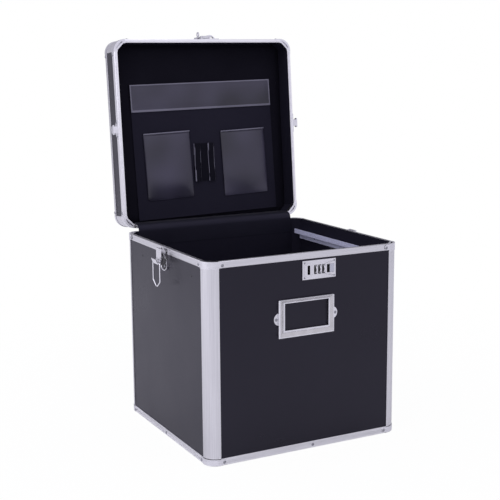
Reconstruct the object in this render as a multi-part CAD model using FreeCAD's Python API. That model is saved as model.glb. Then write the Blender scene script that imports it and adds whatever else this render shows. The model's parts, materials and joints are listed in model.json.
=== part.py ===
import FreeCAD
import Part
import math
import os

# Record carrying case for about a hundred 12-inch records, standing with its lid open.
# X runs to the case's right, Y to its back and Z up. The origin is on the floor, under the body's middle.
# All sizes are in millimetres. The lid is built shut and then turned back about its hinge to its open pose.

# Overall sizes of the shut case, over the aluminium edging
case_width = 358.0
case_depth = 336.0
body_height = 330.0
lid_height = 48.0
corner_radius = 21.5
open_angle = 95.0
rim_gap = 0.3
hinge_reach = 5.0

# Wall build, from the outside in: edging sheet, board, lining
sheet = 1.2
board = 4.8
lining = 1.0
backing = sheet + board
wall = backing + lining
corner_flat = 18.0

# Rim rail round each opening, with a groove in the body and a tongue on the lid
rim_leg = 10.4
rim_solid = 4.4
rim_round = 0.8
groove_start = 1.9
groove_width = 3.4
groove_depth = 2.8
tongue_width = 2.0
tongue_height = 2.2
tongue_end = 2.0

# Rails along the bottom edges of the body and the top edges of the lid
base_leg = 12.0
base_foot = 14.0
top_leg = 9.0
top_foot = 13.0
edge_round = 2.4

# Corner posts and corner caps
post_wall = 1.6
post_web = 1.5
cap_sheet = 0.7
cap_skirt = 12.0
cap_ear = 9.0
cap_lip = 0.8
cap_strip = 3.0
cap_pocket = 6.0
cap_seam = 0.8
close_fit = 0.05
end_round = 2.0

# Rivets
rivet_head = 2.6
rivet_rise = 1.3
rivet_shank = 1.5
rivet_grip = 4.6
rim_rivet_drop = 6.4
base_rivet_drop = 6.0
mid_rivet_front = 11.0
mid_rivet_side = 2.0
top_rivet_drop = 4.8
rivet_along = 5.5

# Hanging-file rails inside the body
rail_sheet = 1.4
rail_drop = 27.0
rail_reach = 13.0
rail_lip = 8.5
rail_flange = 11.0
rail_end = 19.5
rail_screw_span = 202.0
rail_screw_centre = -8.0
rail_screw_drop = 31.0
screw_head = 2.3
screw_rise = 0.9

# Combination lock in the front wall
lock_centre = 21.7
lock_drop = 29.0
plate_width = 62.6
plate_height = 31.2
plate_thick = 2.4
plate_bevel = 0.6
slot_centre = 2.0
slot_width = 4.7
slot_height = 15.0
slot_round = 1.2
dial_first = 14.7
dial_pitch = 7.5
dial_count = 3
dial_sides = 10
dial_radius = 8.0
dial_width = 4.2
dial_proud = 2.0
window_width = 5.8
window_height = 15.2
window_round = 1.6
axle_radius = 1.5
running_fit = 0.06
lock_wall = 1.2
lock_case_width = 60.2
lock_case_height = 27.0
lock_case_depth = 14.6
lock_boss = 3.6
lock_boss_height = 1.4
axle_cheek_gap = 1.0
axle_cheek_half = 5.5
slider_slot_left = 35.9
slider_slot_width = 13.5
button_width = 8.6
button_height = 13.6
button_proud = 1.3
slider_margin = 0.8
slider_base = 1.2
slide_fit = 0.1
bolt_bar_gap = 0.4
bolt_bar_height = 1.8
bolt_bar_end = 45.0
bolt_arm = 1.2
bolt_arm_gap = 1.55
bolt_pin_radius = 1.3
bolt_pin_reach = 1.0
spring_radius = 1.3
spring_wire = 0.35
spring_turns = 4
spring_gap = 0.2
lock_rivet_inset = 3.4
lock_rivet_head = 1.5
lock_rivet_rise = 0.7
lock_rivet_shank = 0.9
lock_rivet_grip = 3.4

# Card holder on the front
holder_centre = -2.5
holder_drop = 103.8
holder_width = 103.5
holder_height = 64.0
holder_side = 11.0
holder_top = 6.8
holder_foot = 12.8
holder_rise = 5.4
holder_edge = 3.8
holder_low = 3.0
holder_bead = 4.4
holder_round = 2.0
ridge_start_share = 0.1
ridge_end_share = 0.22
slope_end_share = 0.7
bead_start_share = 0.78
card_slot = 1.2
card_cover = 5.0
ear_radius = 10.4
ear_reach = 7.4
ear_sheet = 1.2
holder_rivet_reach = 3.4

# Draw latch on each side wall: base, lever and wire bail
latch_centre = -9.0
latch_width = 26.6
latch_top = 1.5
latch_length = 37.5
latch_bow = 7.0
latch_sheet = 1.2
latch_rim = 1.5
latch_rim_rise = 3.4
latch_rim_start = 20.5
latch_ear_out = 9.0
latch_ear_sheet = 1.2
latch_pin_reach = 7.2
latch_pin_drop = 3.7
latch_pin_radius = 1.3
latch_boss = 2.5
latch_ear_foot_top = 9.0
latch_ear_foot = 22.0
latch_rivet_low = 31.5
latch_rivet_high = 16.5
lever_sheet = 1.2
lever_reach = 10.2
lever_top = 1.0
lever_length = 17.5
lever_cheek = 9.0
side_gap = 0.3
bail_reach = 15.6
bail_drop = 24.6
bail_wire = 1.25
bail_width = 28.4
bail_length = 39.0
bail_leg = 30.6
bail_bend = 2.5
bail_tip_half = 3.0
barrel_wall = 1.2
barrel_length = 20.0
lip_reach = 20.4
lip_drop = 17.6

# Catch on each lid side wall that the bail hooks over
catch_width = 35.0
catch_height = 17.0
catch_top_width = 17.0
catch_start = 0.9
catch_shoulder = 5.0
catch_sheet = 1.4
neck_radius = 6.4
neck_centre = 2.9
neck_length = 6.4
catch_lip = 2.0
catch_lip_radius = 8.8
catch_lip_round = 0.9
catch_rivet_across = 12.6
catch_rivet_up = 4.4
catch_rivet_head = 1.9

# Stop hinges on the back
hinge_spacing = 210.0
hinge_width = 42.0
hinge_leaf = 1.6
hinge_leaf_length = 33.0
hinge_start = 1.6
barrel_radius = 3.1
knuckle_share = 0.42
knuckle_gap = 0.3
hinge_pin_radius = 1.5
pin_head = 2.4
pin_head_rise = 0.8
bridge_length = 1.8
stop_gap = 0.4
stop_sheet = 1.4
stop_length = 8.0
hinge_rivet_across = 13.0
hinge_rivet_up = 20.0
hinge_rivet_row = 9.0

# Hasp on the lid's front, folded back in the rest pose
hasp_left = 9.5
hasp_right = 27.0
hasp_sheet = 1.4
hasp_low = 1.2
hasp_high = 30.0
hasp_axis_reach = 3.9
hasp_axis_up = 2.6
hasp_barrel = 2.3
hasp_pin_radius = 1.1
clasp_width = 12.0
clasp_sheet = 1.6
clasp_length = 37.0
clasp_seat = 0.3
staple_width = 1.8
staple_radius = 4.6
staple_bore = 2.8
staple_rise = 5.6
tab_rise = 3.0
tab_sheet = 1.6
guard_gap = 1.0
guard_width = 20.0
guard_height = 10.0
guard_leg = 4.5
guard_sheet = 2.2
guard_low = 22.0
guard_high = 27.0
hasp_rivet_up = 12.6
hasp_rivet_head = 2.2

# Carry handle on the lid's outer face
handle_span = 132.0
handle_offset = 31.0
grip_width = 22.0
grip_thick = 14.0
grip_round = 5.0
handle_axis_rise = 6.4
handle_pin = 3.0
handle_arm = 9.0
handle_arm_half = 4.0
handle_clear = 0.8
bracket_width = 30.0
bracket_length = 26.0
bracket_sheet = 1.6
bracket_saddle = 12.0
saddle_wall = 2.0
bracket_rivet = 9.0

# Padding, pockets and loops inside the lid
soft_gap = 0.3
pad_thick = 9.0
cloth = 1.0
panel_thick = 0.7
panel_low = 12.0
wide_pocket_centre = 2.0
wide_pocket_width = 288.0
wide_pocket_low = 210.0
wide_pocket_high = 260.0
wide_pocket_thick = 2.6
wide_pocket_slant = 1.2
cd_centre = 5.5
cd_spacing = 157.2
cd_width = 97.0
cd_low = 44.0
cd_high = 169.5
cd_thick = 10.4
cd_round = 4.5
cd_slant = 2.0
loop_spacing = 28.0
loop_width = 12.0
loop_low = 75.0
loop_high = 146.0
loop_thick = 5.0
loop_band = 1.2

# Cloth gusset over the hinge
gusset_width = 314.0
gusset_tail = 26.0

over = 1.0

half_width = case_width / 2
half_depth = case_depth / 2
lid_plane = body_height + rim_gap
hinge_y = half_depth + hinge_reach
hinge_z = body_height + rim_gap / 2
root_two = math.sqrt(2)

pieces = {}


class Half:
    """One half of the case. Its depths run from the opening's rim plane to its closed end."""

    def __init__(self, plane, sign, height, end_leg, end_foot, end_drop):
        self.plane = plane
        self.sign = sign
        self.height = height
        self.end_leg = end_leg
        self.end_foot = end_foot
        self.end_drop = end_drop

    def z(self, depth):
        return self.plane + self.sign * depth


body = Half(body_height, -1, body_height, base_leg, base_foot, base_rivet_drop)
lid = Half(lid_plane, 1, lid_height, top_leg, top_foot, top_rivet_drop)


def keep(name, shape):
    """Files a finished piece, or a list of separate solids, under its node's name."""
    if isinstance(shape, list):
        shape = Part.Compound([s for one in shape for s in one.Solids])
    elif len(shape.Solids) == 1:
        shape = shape.Solids[0]
    pieces[name] = shape


def block(x0, x1, y0, y1, z0, z1):
    """A box between two values on each axis, in any order."""
    low = FreeCAD.Vector(min(x0, x1), min(y0, y1), min(z0, z1))
    return Part.makeBox(abs(x1 - x0), abs(y1 - y0), abs(z1 - z0), low)


def rod(radius, start, end):
    """A round bar from one point to another."""
    line = end.sub(start)
    return Part.makeCylinder(radius, line.Length, start, line)


def vec(x, y, z):
    return FreeCAD.Vector(x, y, z)


def outline(points, put):
    """A flat face. An item of four values is reached by an arc through its first pair."""
    spots = [put(*p[-2:]) for p in points]
    edges = []
    for i, p in enumerate(points):
        if len(p) > 2:
            edges.append(Part.Arc(spots[i - 1], put(p[0], p[1]), spots[i]).toShape())
        else:
            edges.append(Part.LineSegment(spots[i - 1], spots[i]).toShape())
    return Part.Face(Part.Wire(edges))


def prism(points, put, along):
    """An outline pushed along a vector."""
    return outline(points, put).extrude(along)


def mirrored(shape, x=False, y=False):
    """A copy on the other side of the middle plane across X, across Y, or both."""
    if x:
        shape = shape.mirror(vec(0, 0, 0), vec(1, 0, 0))
    if y:
        shape = shape.mirror(vec(0, 0, 0), vec(0, 1, 0))
    return shape


def four_corners(shape):
    """The front-left piece and its three mirrored copies."""
    return [mirrored(shape, x, y) for x in (False, True) for y in (False, True)]


def joined(shapes):
    """Several shapes made one solid, without the seams between flat faces."""
    first = shapes[0]
    return first.fuse(shapes[1:]).removeSplitter()


def opened(shape):
    """A lid piece turned from its shut place to the open rest pose."""
    turned = shape.copy()
    turned.rotate(vec(0, hinge_y, hinge_z), vec(1, 0, 0), -open_angle)
    return turned


def shut(shape):
    """The opposite turn: a shape made in the open pose, put where it lies with the lid shut."""
    turned = shape.copy()
    turned.rotate(vec(0, hinge_y, hinge_z), vec(1, 0, 0), open_angle)
    return turned


def flat_at(inset):
    """Where the corner's inner chamfer meets a line set in from the outer faces."""
    return corner_flat + (inset - backing) * (root_two - 1)


def at_corner(z):
    """Puts distances from the front-left corner's two outer faces at a height."""
    return lambda u, v: vec(u - half_width, v - half_depth, z)


def corner_prism(inset, z0, z1, radius=corner_radius):
    """The front-left corner: round outside, chamfered inside, as deep as the inset."""
    r = corner_radius
    mid = r - radius / root_two
    flat = flat_at(inset)
    points = [
        (r - radius, r),
        (mid, mid, r, r - radius),
        (r, inset),
        (flat, inset),
        (inset, flat),
        (inset, r),
    ]
    return prism(points, at_corner(z0), vec(0, 0, z1 - z0))


def corner_disc(radius, z0, z1):
    """A round bar on the axis of the front-left corner's curve."""
    r = corner_radius
    return rod(radius, at_corner(z0)(r, r), at_corner(z1)(r, r))


def corner_void(outer, web, strip, inset, z0, z1):
    """The hollow of a corner between its curved wall, its end webs and the strip along its chamfer."""
    edge = corner_radius - web
    cross = inset + flat_at(inset) - strip * root_two
    points = [(0, 0), (edge, 0), (edge, cross - edge), (cross - edge, edge), (0, edge)]
    space = prism(points, at_corner(z0), vec(0, 0, z1 - z0))
    return space.common(corner_disc(corner_radius - outer, z0, z1))


def octagon(inset, z0, z1):
    """The plan of the case at an inset, with its four corners chamfered as the posts are."""
    w = half_width - inset
    d = half_depth - inset
    cut = flat_at(inset) - inset
    points = [
        (-w + cut, -d), (w - cut, -d), (w, -d + cut), (w, d - cut),
        (w - cut, d), (-w + cut, d), (-w, d - cut), (-w, -d + cut),
    ]
    return prism(points, lambda x, y: vec(x, y, z0), vec(0, 0, z1 - z0))


def rivet(seat, out, head=rivet_head, rise=rivet_rise, shank=rivet_shank, grip=rivet_grip):
    """A rivet with a domed head on its seat and a shank into the wall."""
    ball = (head * head + rise * rise) / (2 * rise)
    centre = seat.sub(out * (ball - rise))
    dome = Part.makeSphere(ball, centre).common(rod(head, seat, seat.add(out * (rise + over))))
    return dome.fuse(rod(shank, seat.sub(out * grip), seat.add(out * (rise / 2)))).removeSplitter()


def drilled(shape, seats, shank=rivet_shank, grip=rivet_grip):
    """A piece with a hole for each rivet that passes through it."""
    holes = [
        rod(shank + close_fit, seat.sub(out * (grip + over)), seat.add(out * over))
        for seat, out in seats
    ]
    return shape.cut(holes) if holes else shape


def both_sides(seats):
    """A list of rivet places on the left, with those mirrored to the right."""
    return seats + [(vec(-p.x, p.y, p.z), vec(-n.x, n.y, n.z)) for p, n in seats]


def corner_rivets(half):
    """The rivet places of the corner caps at the rim and at the closed end."""
    along = corner_radius + rivet_along
    seats = []
    for depth in (rim_rivet_drop, half.height - half.end_drop):
        for sx in (-1, 1):
            for sy in (-1, 1):
                x = sx * (half_width - along)
                y = sy * (half_depth - along)
                z = half.z(depth)
                seats.append((vec(x, sy * (half_depth + cap_sheet), z), vec(0, sy, 0)))
                seats.append((vec(sx * (half_width + cap_sheet), y, z), vec(sx, 0, 0)))
    return seats


def front_wall(half):
    """The front board between two posts, from inside the rim rail to the end rail."""
    x = half_width - corner_radius
    y = sheet - half_depth
    return block(-x, x, y, y + board, half.z(rim_solid), half.z(half.height - sheet))


def left_wall(half):
    """The left board between two posts."""
    y = half_depth - corner_radius
    x = sheet - half_width
    return block(x, x + board, -y, y, half.z(rim_solid), half.z(half.height - sheet))


def rim_section(half):
    """The rim rail's section: distance in from the outer face, and depth from the rim plane."""
    bend = rim_round * (1 - 1 / root_two)
    groove = []
    if half is body:
        end = groove_start + groove_width
        groove = [(groove_start, 0), (groove_start, groove_depth), (end, groove_depth), (end, 0)]
    return [(0, rim_leg), (0, rim_round), (bend, bend, rim_round, 0)] + groove + [
        (backing, 0), (backing, rim_solid), (sheet, rim_solid), (sheet, rim_leg),
    ]


def tongues():
    """The ribs under the lid's rim rails, a little shorter than the rails."""
    start = groove_start + (groove_width - tongue_width) / 2
    z0 = lid.z(-tongue_height)
    z1 = lid.z(rim_solid / 2)
    x = half_width - corner_radius - tongue_end
    y = half_depth - corner_radius - tongue_end
    front = block(-x, x, start - half_depth, start + tongue_width - half_depth, z0, z1)
    left = block(start - half_width, start + tongue_width - half_width, -y, y, z0, z1)
    return [front, mirrored(front, y=True), left, mirrored(left, x=True)]


def end_section(half):
    """The section of the rail along a closed end's edges."""
    h = half.height
    bend = edge_round * (1 - 1 / root_two)
    return [
        (0, h - half.end_leg), (0, h - edge_round), (bend, h - bend, edge_round, h),
        (half.end_foot, h), (half.end_foot, h - sheet), (sheet, h - sheet), (sheet, h - half.end_leg),
    ]


def four_rails(half, section):
    """Front, back, left and right rails between the corners, from one section."""
    x = half_width - corner_radius
    y = half_depth - corner_radius
    front = prism(section, lambda v, w: vec(-x, v - half_depth, half.z(w)), vec(2 * x, 0, 0))
    left = prism(section, lambda u, w: vec(u - half_width, -y, half.z(w)), vec(0, 2 * y, 0))
    return [front, mirrored(front, y=True), left, mirrored(left, x=True)]


def post(half):
    """A hollow corner post, with only its curved wall carried up behind the rim cap."""
    low = half.height - half.end_leg
    main = corner_prism(backing, half.z(rim_leg), half.z(low))
    void = corner_void(post_wall, post_web, post_wall, backing, half.z(rim_leg - over), half.z(low + over))
    main = main.cut(void)
    skin = corner_prism(backing, half.z(cap_lip + close_fit), half.z(rim_leg))
    skin = skin.cut(corner_disc(corner_radius - post_wall, half.z(0), half.z(rim_leg + over)))
    return joined([main, skin])


def ears(half, near, far):
    """The two flat ears of a corner cap, which lie on the rails beside it."""
    r = corner_radius
    z0 = half.z(near)
    z1 = half.z(far)
    across = z1 - z0
    bulge = abs(across) / 2
    points = [(r - close_fit, z0), (r + cap_ear - bulge, z0),
              (r + cap_ear, z0 + across / 2, r + cap_ear - bulge, z1), (r - close_fit, z1)]
    front = prism(points, lambda u, z: vec(u - half_width, -cap_sheet - half_depth, z), vec(0, cap_sheet, 0))
    side = prism(points, lambda v, z: vec(-cap_sheet - half_width, v - half_depth, z), vec(cap_sheet, 0, 0))
    return [front, side]


def quadrant(z0, z1):
    """The space in front of and left of a corner's two end webs."""
    r = corner_radius
    low = at_corner(z0)(-cap_sheet - over, -cap_sheet - over)
    high = at_corner(z1)(r, r)
    return block(low.x, high.x, low.y, high.y, z0, z1)


def rim_cap(half):
    """A pressed cap round a rim corner: skirt and lip outside the post, chamfered strip and pocket inside."""
    inner = corner_radius - post_wall - close_fit
    outer = corner_radius + cap_sheet
    z0 = half.z(0)
    core = corner_prism(wall, z0, half.z(rim_leg)).common(corner_disc(inner, z0, half.z(rim_leg)))
    skirt = corner_disc(outer, z0, half.z(cap_skirt)).cut(
        corner_disc(corner_radius + close_fit, half.z(cap_lip), half.z(cap_skirt + over)))
    skirt = skirt.cut(corner_disc(inner - over, half.z(-over), half.z(cap_lip + over)))
    skirt = skirt.common(quadrant(z0, half.z(cap_skirt)))
    cap = joined([core, skirt] + ears(half, rim_round, rim_leg - close_fit))
    inset = post_wall + cap_strip / 2
    cap = cap.cut(corner_void(inset, post_web, cap_strip, wall, half.z(-over), half.z(cap_pocket)))
    return cap


def end_cap(half):
    """A solid cap at a closed end's corner, with its outer edge rounded and two ears."""
    h = half.height
    outer = corner_radius + cap_sheet
    start = h - half.end_leg + cap_seam
    main = corner_prism(backing, half.z(start), half.z(h), outer)
    foot = corner_prism(half.end_foot, half.z(h - sheet), half.z(h), outer)
    solid = joined([main, foot])
    rim = [e for e in solid.Edges
           if abs(e.BoundBox.ZMin - half.z(h)) < close_fit and abs(e.BoundBox.ZMax - half.z(h)) < close_fit
           and isinstance(e.Curve, Part.Circle)]
    solid = solid.makeFillet(end_round, rim)
    return joined([solid] + ears(half, start, h - edge_round))


def lined(half):
    """The cloth-covered liner: a chamfered tube, closed at the far end, with four flaps up the rim rails."""
    z0 = half.z(rim_leg)
    floor = half.height - sheet - board
    hollow = octagon(wall, half.z(rim_leg - over), half.z(floor - lining))
    tube = octagon(backing, z0, half.z(floor)).cut(hollow)
    x = half_width - corner_radius - close_fit
    y = half_depth - corner_radius - close_fit
    front = block(-x, x, backing - half_depth, wall - half_depth, half.z(rim_round), z0)
    left = block(backing - half_width, wall - half_width, -y, y, half.z(rim_round), z0)
    return joined([tube, front, mirrored(front, y=True), left, mirrored(left, x=True)])


class Face:
    """An outer face of one half. Places on it are out from its rails, along it, and deep from the rim."""

    def __init__(self, half, side):
        self.half = half
        self.side = side
        self.normal = {"front": vec(0, -1, 0), "back": vec(0, 1, 0), "left": vec(-1, 0, 0)}[side]

    def at(self, out, along, depth):
        z = self.half.z(depth)
        if self.side == "left":
            return vec(-half_width - out, along, z)
        return vec(along, self.normal.y * (half_depth + out), z)

    def flat(self, out):
        """Puts an outline's along and depth values on this face."""
        return lambda along, depth: self.at(out, along, depth)

    def slab(self, out0, out1, a0, a1, d0, d1):
        p = self.at(out0, a0, d0)
        q = self.at(out1, a1, d1)
        return block(p.x, q.x, p.y, q.y, p.z, q.z)

    def side_on(self, points, a0, a1):
        """An outline in out and depth values, pushed from one place along the face to another."""
        push = self.at(0, a1, 0).sub(self.at(0, a0, 0))
        return prism(points, lambda out, depth: self.at(out, a0, depth), push)

    def bar(self, radius, out, depth, a0, a1):
        """A round bar lying along the face."""
        return rod(radius, self.at(out, a0, depth), self.at(out, a1, depth))

    def plate(self, points, proud):
        """A plate on both the rim rail and the board: it is one sheet thicker over the board."""
        whole = prism(points, self.flat(-sheet), self.normal * (sheet + proud))
        reach = case_width + case_depth
        return whole.cut(self.slab(-sheet - over, 0, -reach, reach, -over, rim_leg + close_fit))

    def seat(self, out, along, depth):
        return (self.at(out, along, depth), self.normal)


body_front = Face(body, "front")
body_back = Face(body, "back")
body_left = Face(body, "left")
lid_front = Face(lid, "front")
lid_back = Face(lid, "back")
lid_left = Face(lid, "left")


def rect(a0, a1, d0, d1):
    return [(a0, d0), (a1, d0), (a1, d1), (a0, d1)]


def rounded(a0, a1, d0, d1, r):
    """A rectangle with its four corners rounded."""
    c = r * (1 - 1 / root_two)
    return [
        (a1 - r, d0), (a1 - c, d0 + c, a1, d0 + r), (a1, d1 - r), (a1 - c, d1 - c, a1 - r, d1),
        (a0 + r, d1), (a0 + c, d1 - c, a0, d1 - r), (a0, d0 + r), (a0 + c, d0 + c, a0 + r, d0),
    ]


def strip(p, q, thick):
    """The four corners of a bar of a given thickness between two points of a section."""
    length = math.hypot(q[0] - p[0], q[1] - p[1])
    u = (q[1] - p[1]) * thick / 2 / length
    v = (p[0] - q[0]) * thick / 2 / length
    return [(p[0] + u, p[1] + v), (q[0] + u, q[1] + v), (q[0] - u, q[1] - v), (p[0] - u, p[1] - v)]


def half_rails(half):
    """The rim rails of one half, with the tongues on the lid's."""
    rails = four_rails(half, rim_section(half))
    if half is lid:
        rails = [joined([rail, tongue]) for rail, tongue in zip(rails, tongues())]
    return rails


def build_half(half):
    """The boards, rails, posts, caps and liner of one half, as loose shapes in the shut place."""
    seats = corner_rivets(half)
    front = drilled(front_wall(half), seats)
    left = drilled(left_wall(half), seats)
    h = half.height
    return {
        "front": front,
        "back": mirrored(front, y=True),
        "left": left,
        "right": mirrored(left, x=True),
        "end": octagon(backing, half.z(h - sheet - board), half.z(h - sheet)),
        "rims": [drilled(rail, seats) for rail in half_rails(half)],
        "ends": [drilled(rail, seats) for rail in four_rails(half, end_section(half))],
        "posts": four_corners(post(half)),
        "rim_caps": four_corners(drilled(rim_cap(half), seats)),
        "end_caps": four_corners(drilled(end_cap(half), seats)),
        "lining": lined(half),
        "rivets": [rivet(p, n) for p, n in seats],
    }


# Hanging-file rails

def rail_screw_seats():
    """The places of the two screws that hold the left rail."""
    return [body_left.seat(-sheet, rail_screw_centre + side * rail_screw_span / 2, rail_screw_drop)
            for side in (-1, 1)]


rail_screw_grip = board + lining + rail_sheet + over


def hanging_rail():
    """The left rail: a flange on the wall, a shelf and a raised lip that the folders' hooks ride on."""
    points = [
        (-wall, rail_drop - rail_sheet),
        (rail_sheet - wall - rail_reach, rail_drop - rail_sheet),
        (rail_sheet - wall - rail_reach, rail_drop - rail_lip),
        (-wall - rail_reach, rail_drop - rail_lip),
        (-wall - rail_reach, rail_drop),
        (-wall - rail_sheet, rail_drop),
        (-wall - rail_sheet, rail_drop + rail_flange),
        (-wall, rail_drop + rail_flange),
    ]
    y = half_depth - rail_end
    return drilled(body_left.side_on(points, -y, y), rail_screw_seats(), rivet_shank, rail_screw_grip)


# Combination lock

lock_face = plate_thick - sheet
dial_out = lock_face + dial_proud - dial_radius
bolt_out = clasp_seat + lock_face - staple_rise
button_right = slider_slot_left + slider_slot_width
button_left = button_right - button_width
cheek_left = dial_first - dial_width / 2 - axle_cheek_gap - lock_wall
cheek_right = dial_first + (dial_count - 1) * dial_pitch + dial_width / 2 + axle_cheek_gap + lock_wall


def dial_places():
    return [dial_first + i * dial_pitch for i in range(dial_count)]


def lock_rivet_seats():
    """The four corners of the lock plate."""
    x = plate_width / 2 - lock_rivet_inset
    d = plate_height / 2 - lock_rivet_inset
    return [body_front.seat(lock_face, lock_centre + sx * x, lock_drop + sd * d)
            for sx in (-1, 1) for sd in (-1, 1)]


def lock_plate():
    """The lock's face plate with its staple slot, dial windows and slider slot."""
    half = plate_width / 2
    tall = plate_height / 2
    points = rect(lock_centre - half, lock_centre + half, lock_drop - tall, lock_drop + tall)
    plate = prism(points, body_front.flat(-sheet), body_front.normal * plate_thick)
    outer = [e for e in plate.Edges if e.BoundBox.YMax < -half_depth - lock_face + close_fit]
    plate = plate.makeChamfer(plate_bevel, outer)
    through = body_front.normal * (plate_thick + 2 * over)
    slots = [(slot_centre, slot_width, slot_height, slot_round)]
    slots += [(x, window_width, window_height, window_round) for x in dial_places()]
    holes = [prism(rounded(x - w / 2, x + w / 2, lock_drop - h / 2, lock_drop + h / 2, r),
                   body_front.flat(-sheet - over), through) for x, w, h, r in slots]
    tall = button_height / 2 + slide_fit
    holes.append(prism(rect(slider_slot_left - slide_fit, slider_slot_left + slider_slot_width + slide_fit,
                            lock_drop - tall, lock_drop + tall), body_front.flat(-sheet - over), through))
    return drilled(plate.cut(holes), lock_rivet_seats(), lock_rivet_shank, lock_rivet_grip)


def lock_room(grow, back):
    """A box round the lock case, larger by a margin, from the plate's back to a given depth behind it."""
    w = lock_case_width / 2 + grow
    h = lock_case_height / 2 + grow
    return body_front.slab(-sheet, -sheet - back, lock_centre - w, lock_centre + w,
                           lock_drop - h, lock_drop + h)


def lock_case():
    """The box behind the face plate, with corner bosses for its rivets and two cheeks for the dial axle."""
    shell = lock_room(0, lock_case_depth).cut(lock_room(-lock_wall, lock_case_depth - lock_wall))
    inner_x = lock_case_width / 2 - lock_wall
    inner_d = lock_case_height / 2 - lock_wall
    bosses = [body_front.slab(-sheet, over - sheet - lock_case_depth,
                              lock_centre + sx * (inner_x + close_fit),
                              lock_centre + sx * (inner_x - lock_boss),
                              lock_drop + sd * (inner_d + close_fit),
                              lock_drop + sd * (inner_d - lock_boss_height))
              for sx in (-1, 1) for sd in (-1, 1)]
    cheeks = [body_front.slab(-sheet, over - sheet - lock_case_depth, x, x + lock_wall,
                              lock_drop - axle_cheek_half, lock_drop + axle_cheek_half)
              for x in (cheek_left, cheek_right - lock_wall)]
    case = joined([shell] + bosses + cheeks)
    bore = body_front.bar(axle_radius + close_fit, dial_out, lock_drop, cheek_left - over, cheek_right + over)
    case = case.cut(bore)
    return drilled(case, lock_rivet_seats(), lock_rivet_shank, lock_rivet_grip)


def lock_dial(x):
    """A ten-sided number wheel on the axle."""
    turn = math.pi / dial_sides
    points = [(dial_out + dial_radius * math.cos(turn * (2 * i + 1)),
               lock_drop + dial_radius * math.sin(turn * (2 * i + 1)))
              for i in range(dial_sides)]
    wheel = body_front.side_on(points, x - dial_width / 2, x + dial_width / 2)
    bore = body_front.bar(axle_radius + running_fit, dial_out, lock_drop, x - dial_width, x + dial_width)
    return wheel.cut(bore)


def lock_slider():
    """The slide button, with its thin base behind the face plate."""
    back = -sheet - slide_fit
    button = body_front.slab(back - slider_base / 2, lock_face + button_proud, button_left, button_right,
                             lock_drop - button_height / 2, lock_drop + button_height / 2)
    edges = [e for e in button.Edges if e.BoundBox.YMax < -half_depth - lock_face - button_proud + close_fit]
    button = button.makeChamfer(plate_bevel, edges)
    tall = button_height / 2 + slider_margin
    base = body_front.slab(back, back - slider_base,
                           button_left - slider_margin, button_right + slider_margin,
                           lock_drop - tall, lock_drop + tall)
    return joined([button, base])


def lock_bolt():
    """The bolt: a bar that hangs from the slider's base, runs under the dials and turns up at the slot."""
    back = -sheet - slide_fit
    top = lock_drop + dial_radius + bolt_bar_gap
    low = top + bolt_bar_height
    arm_right = slot_centre - staple_width / 2 - bolt_arm_gap
    arm_left = arm_right - bolt_arm
    base_low = lock_drop + button_height / 2 + slider_margin
    bar = body_front.slab(back, back - slider_base, arm_left, bolt_bar_end, top, low)
    link = body_front.slab(back, back - slider_base, button_left, bolt_bar_end, base_low, low)
    arm = body_front.slab(back, bolt_out - bolt_pin_radius, arm_left, arm_right,
                          lock_drop - bolt_pin_radius, low)
    pin = body_front.bar(bolt_pin_radius, bolt_out, lock_drop, arm_left, slot_centre + bolt_pin_reach)
    return joined([bar, link, arm, pin])


def lock_spring():
    """The small coil spring that pushes the slider back, between its base and the right-hand dial cheek."""
    start = cheek_right + spring_gap
    length = button_left - slider_margin - spring_gap - start
    pitch = (length - 2 * spring_wire) / spring_turns
    coil = Part.makeHelix(pitch, pitch * spring_turns, spring_radius - spring_wire)
    ring = Part.Wire(Part.makeCircle(spring_wire, vec(spring_radius - spring_wire, 0, 0), vec(0, 1, 0)))
    spring = Part.Wire(coil.Edges).makePipeShell([ring], True, True)
    spring.rotate(vec(0, 0, 0), vec(0, 1, 0), 90)
    spring.translate(body_front.at(-sheet - slide_fit - slider_base - spring_radius - spring_gap,
                                   start + spring_wire, lock_drop))
    return spring


# Card holder

def holder_seats():
    """The two rivets in the holder's ears."""
    reach = holder_width / 2 + holder_rivet_reach
    return [body_front.seat(ear_sheet - sheet, holder_centre + side * reach, holder_drop) for side in (-1, 1)]


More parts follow.
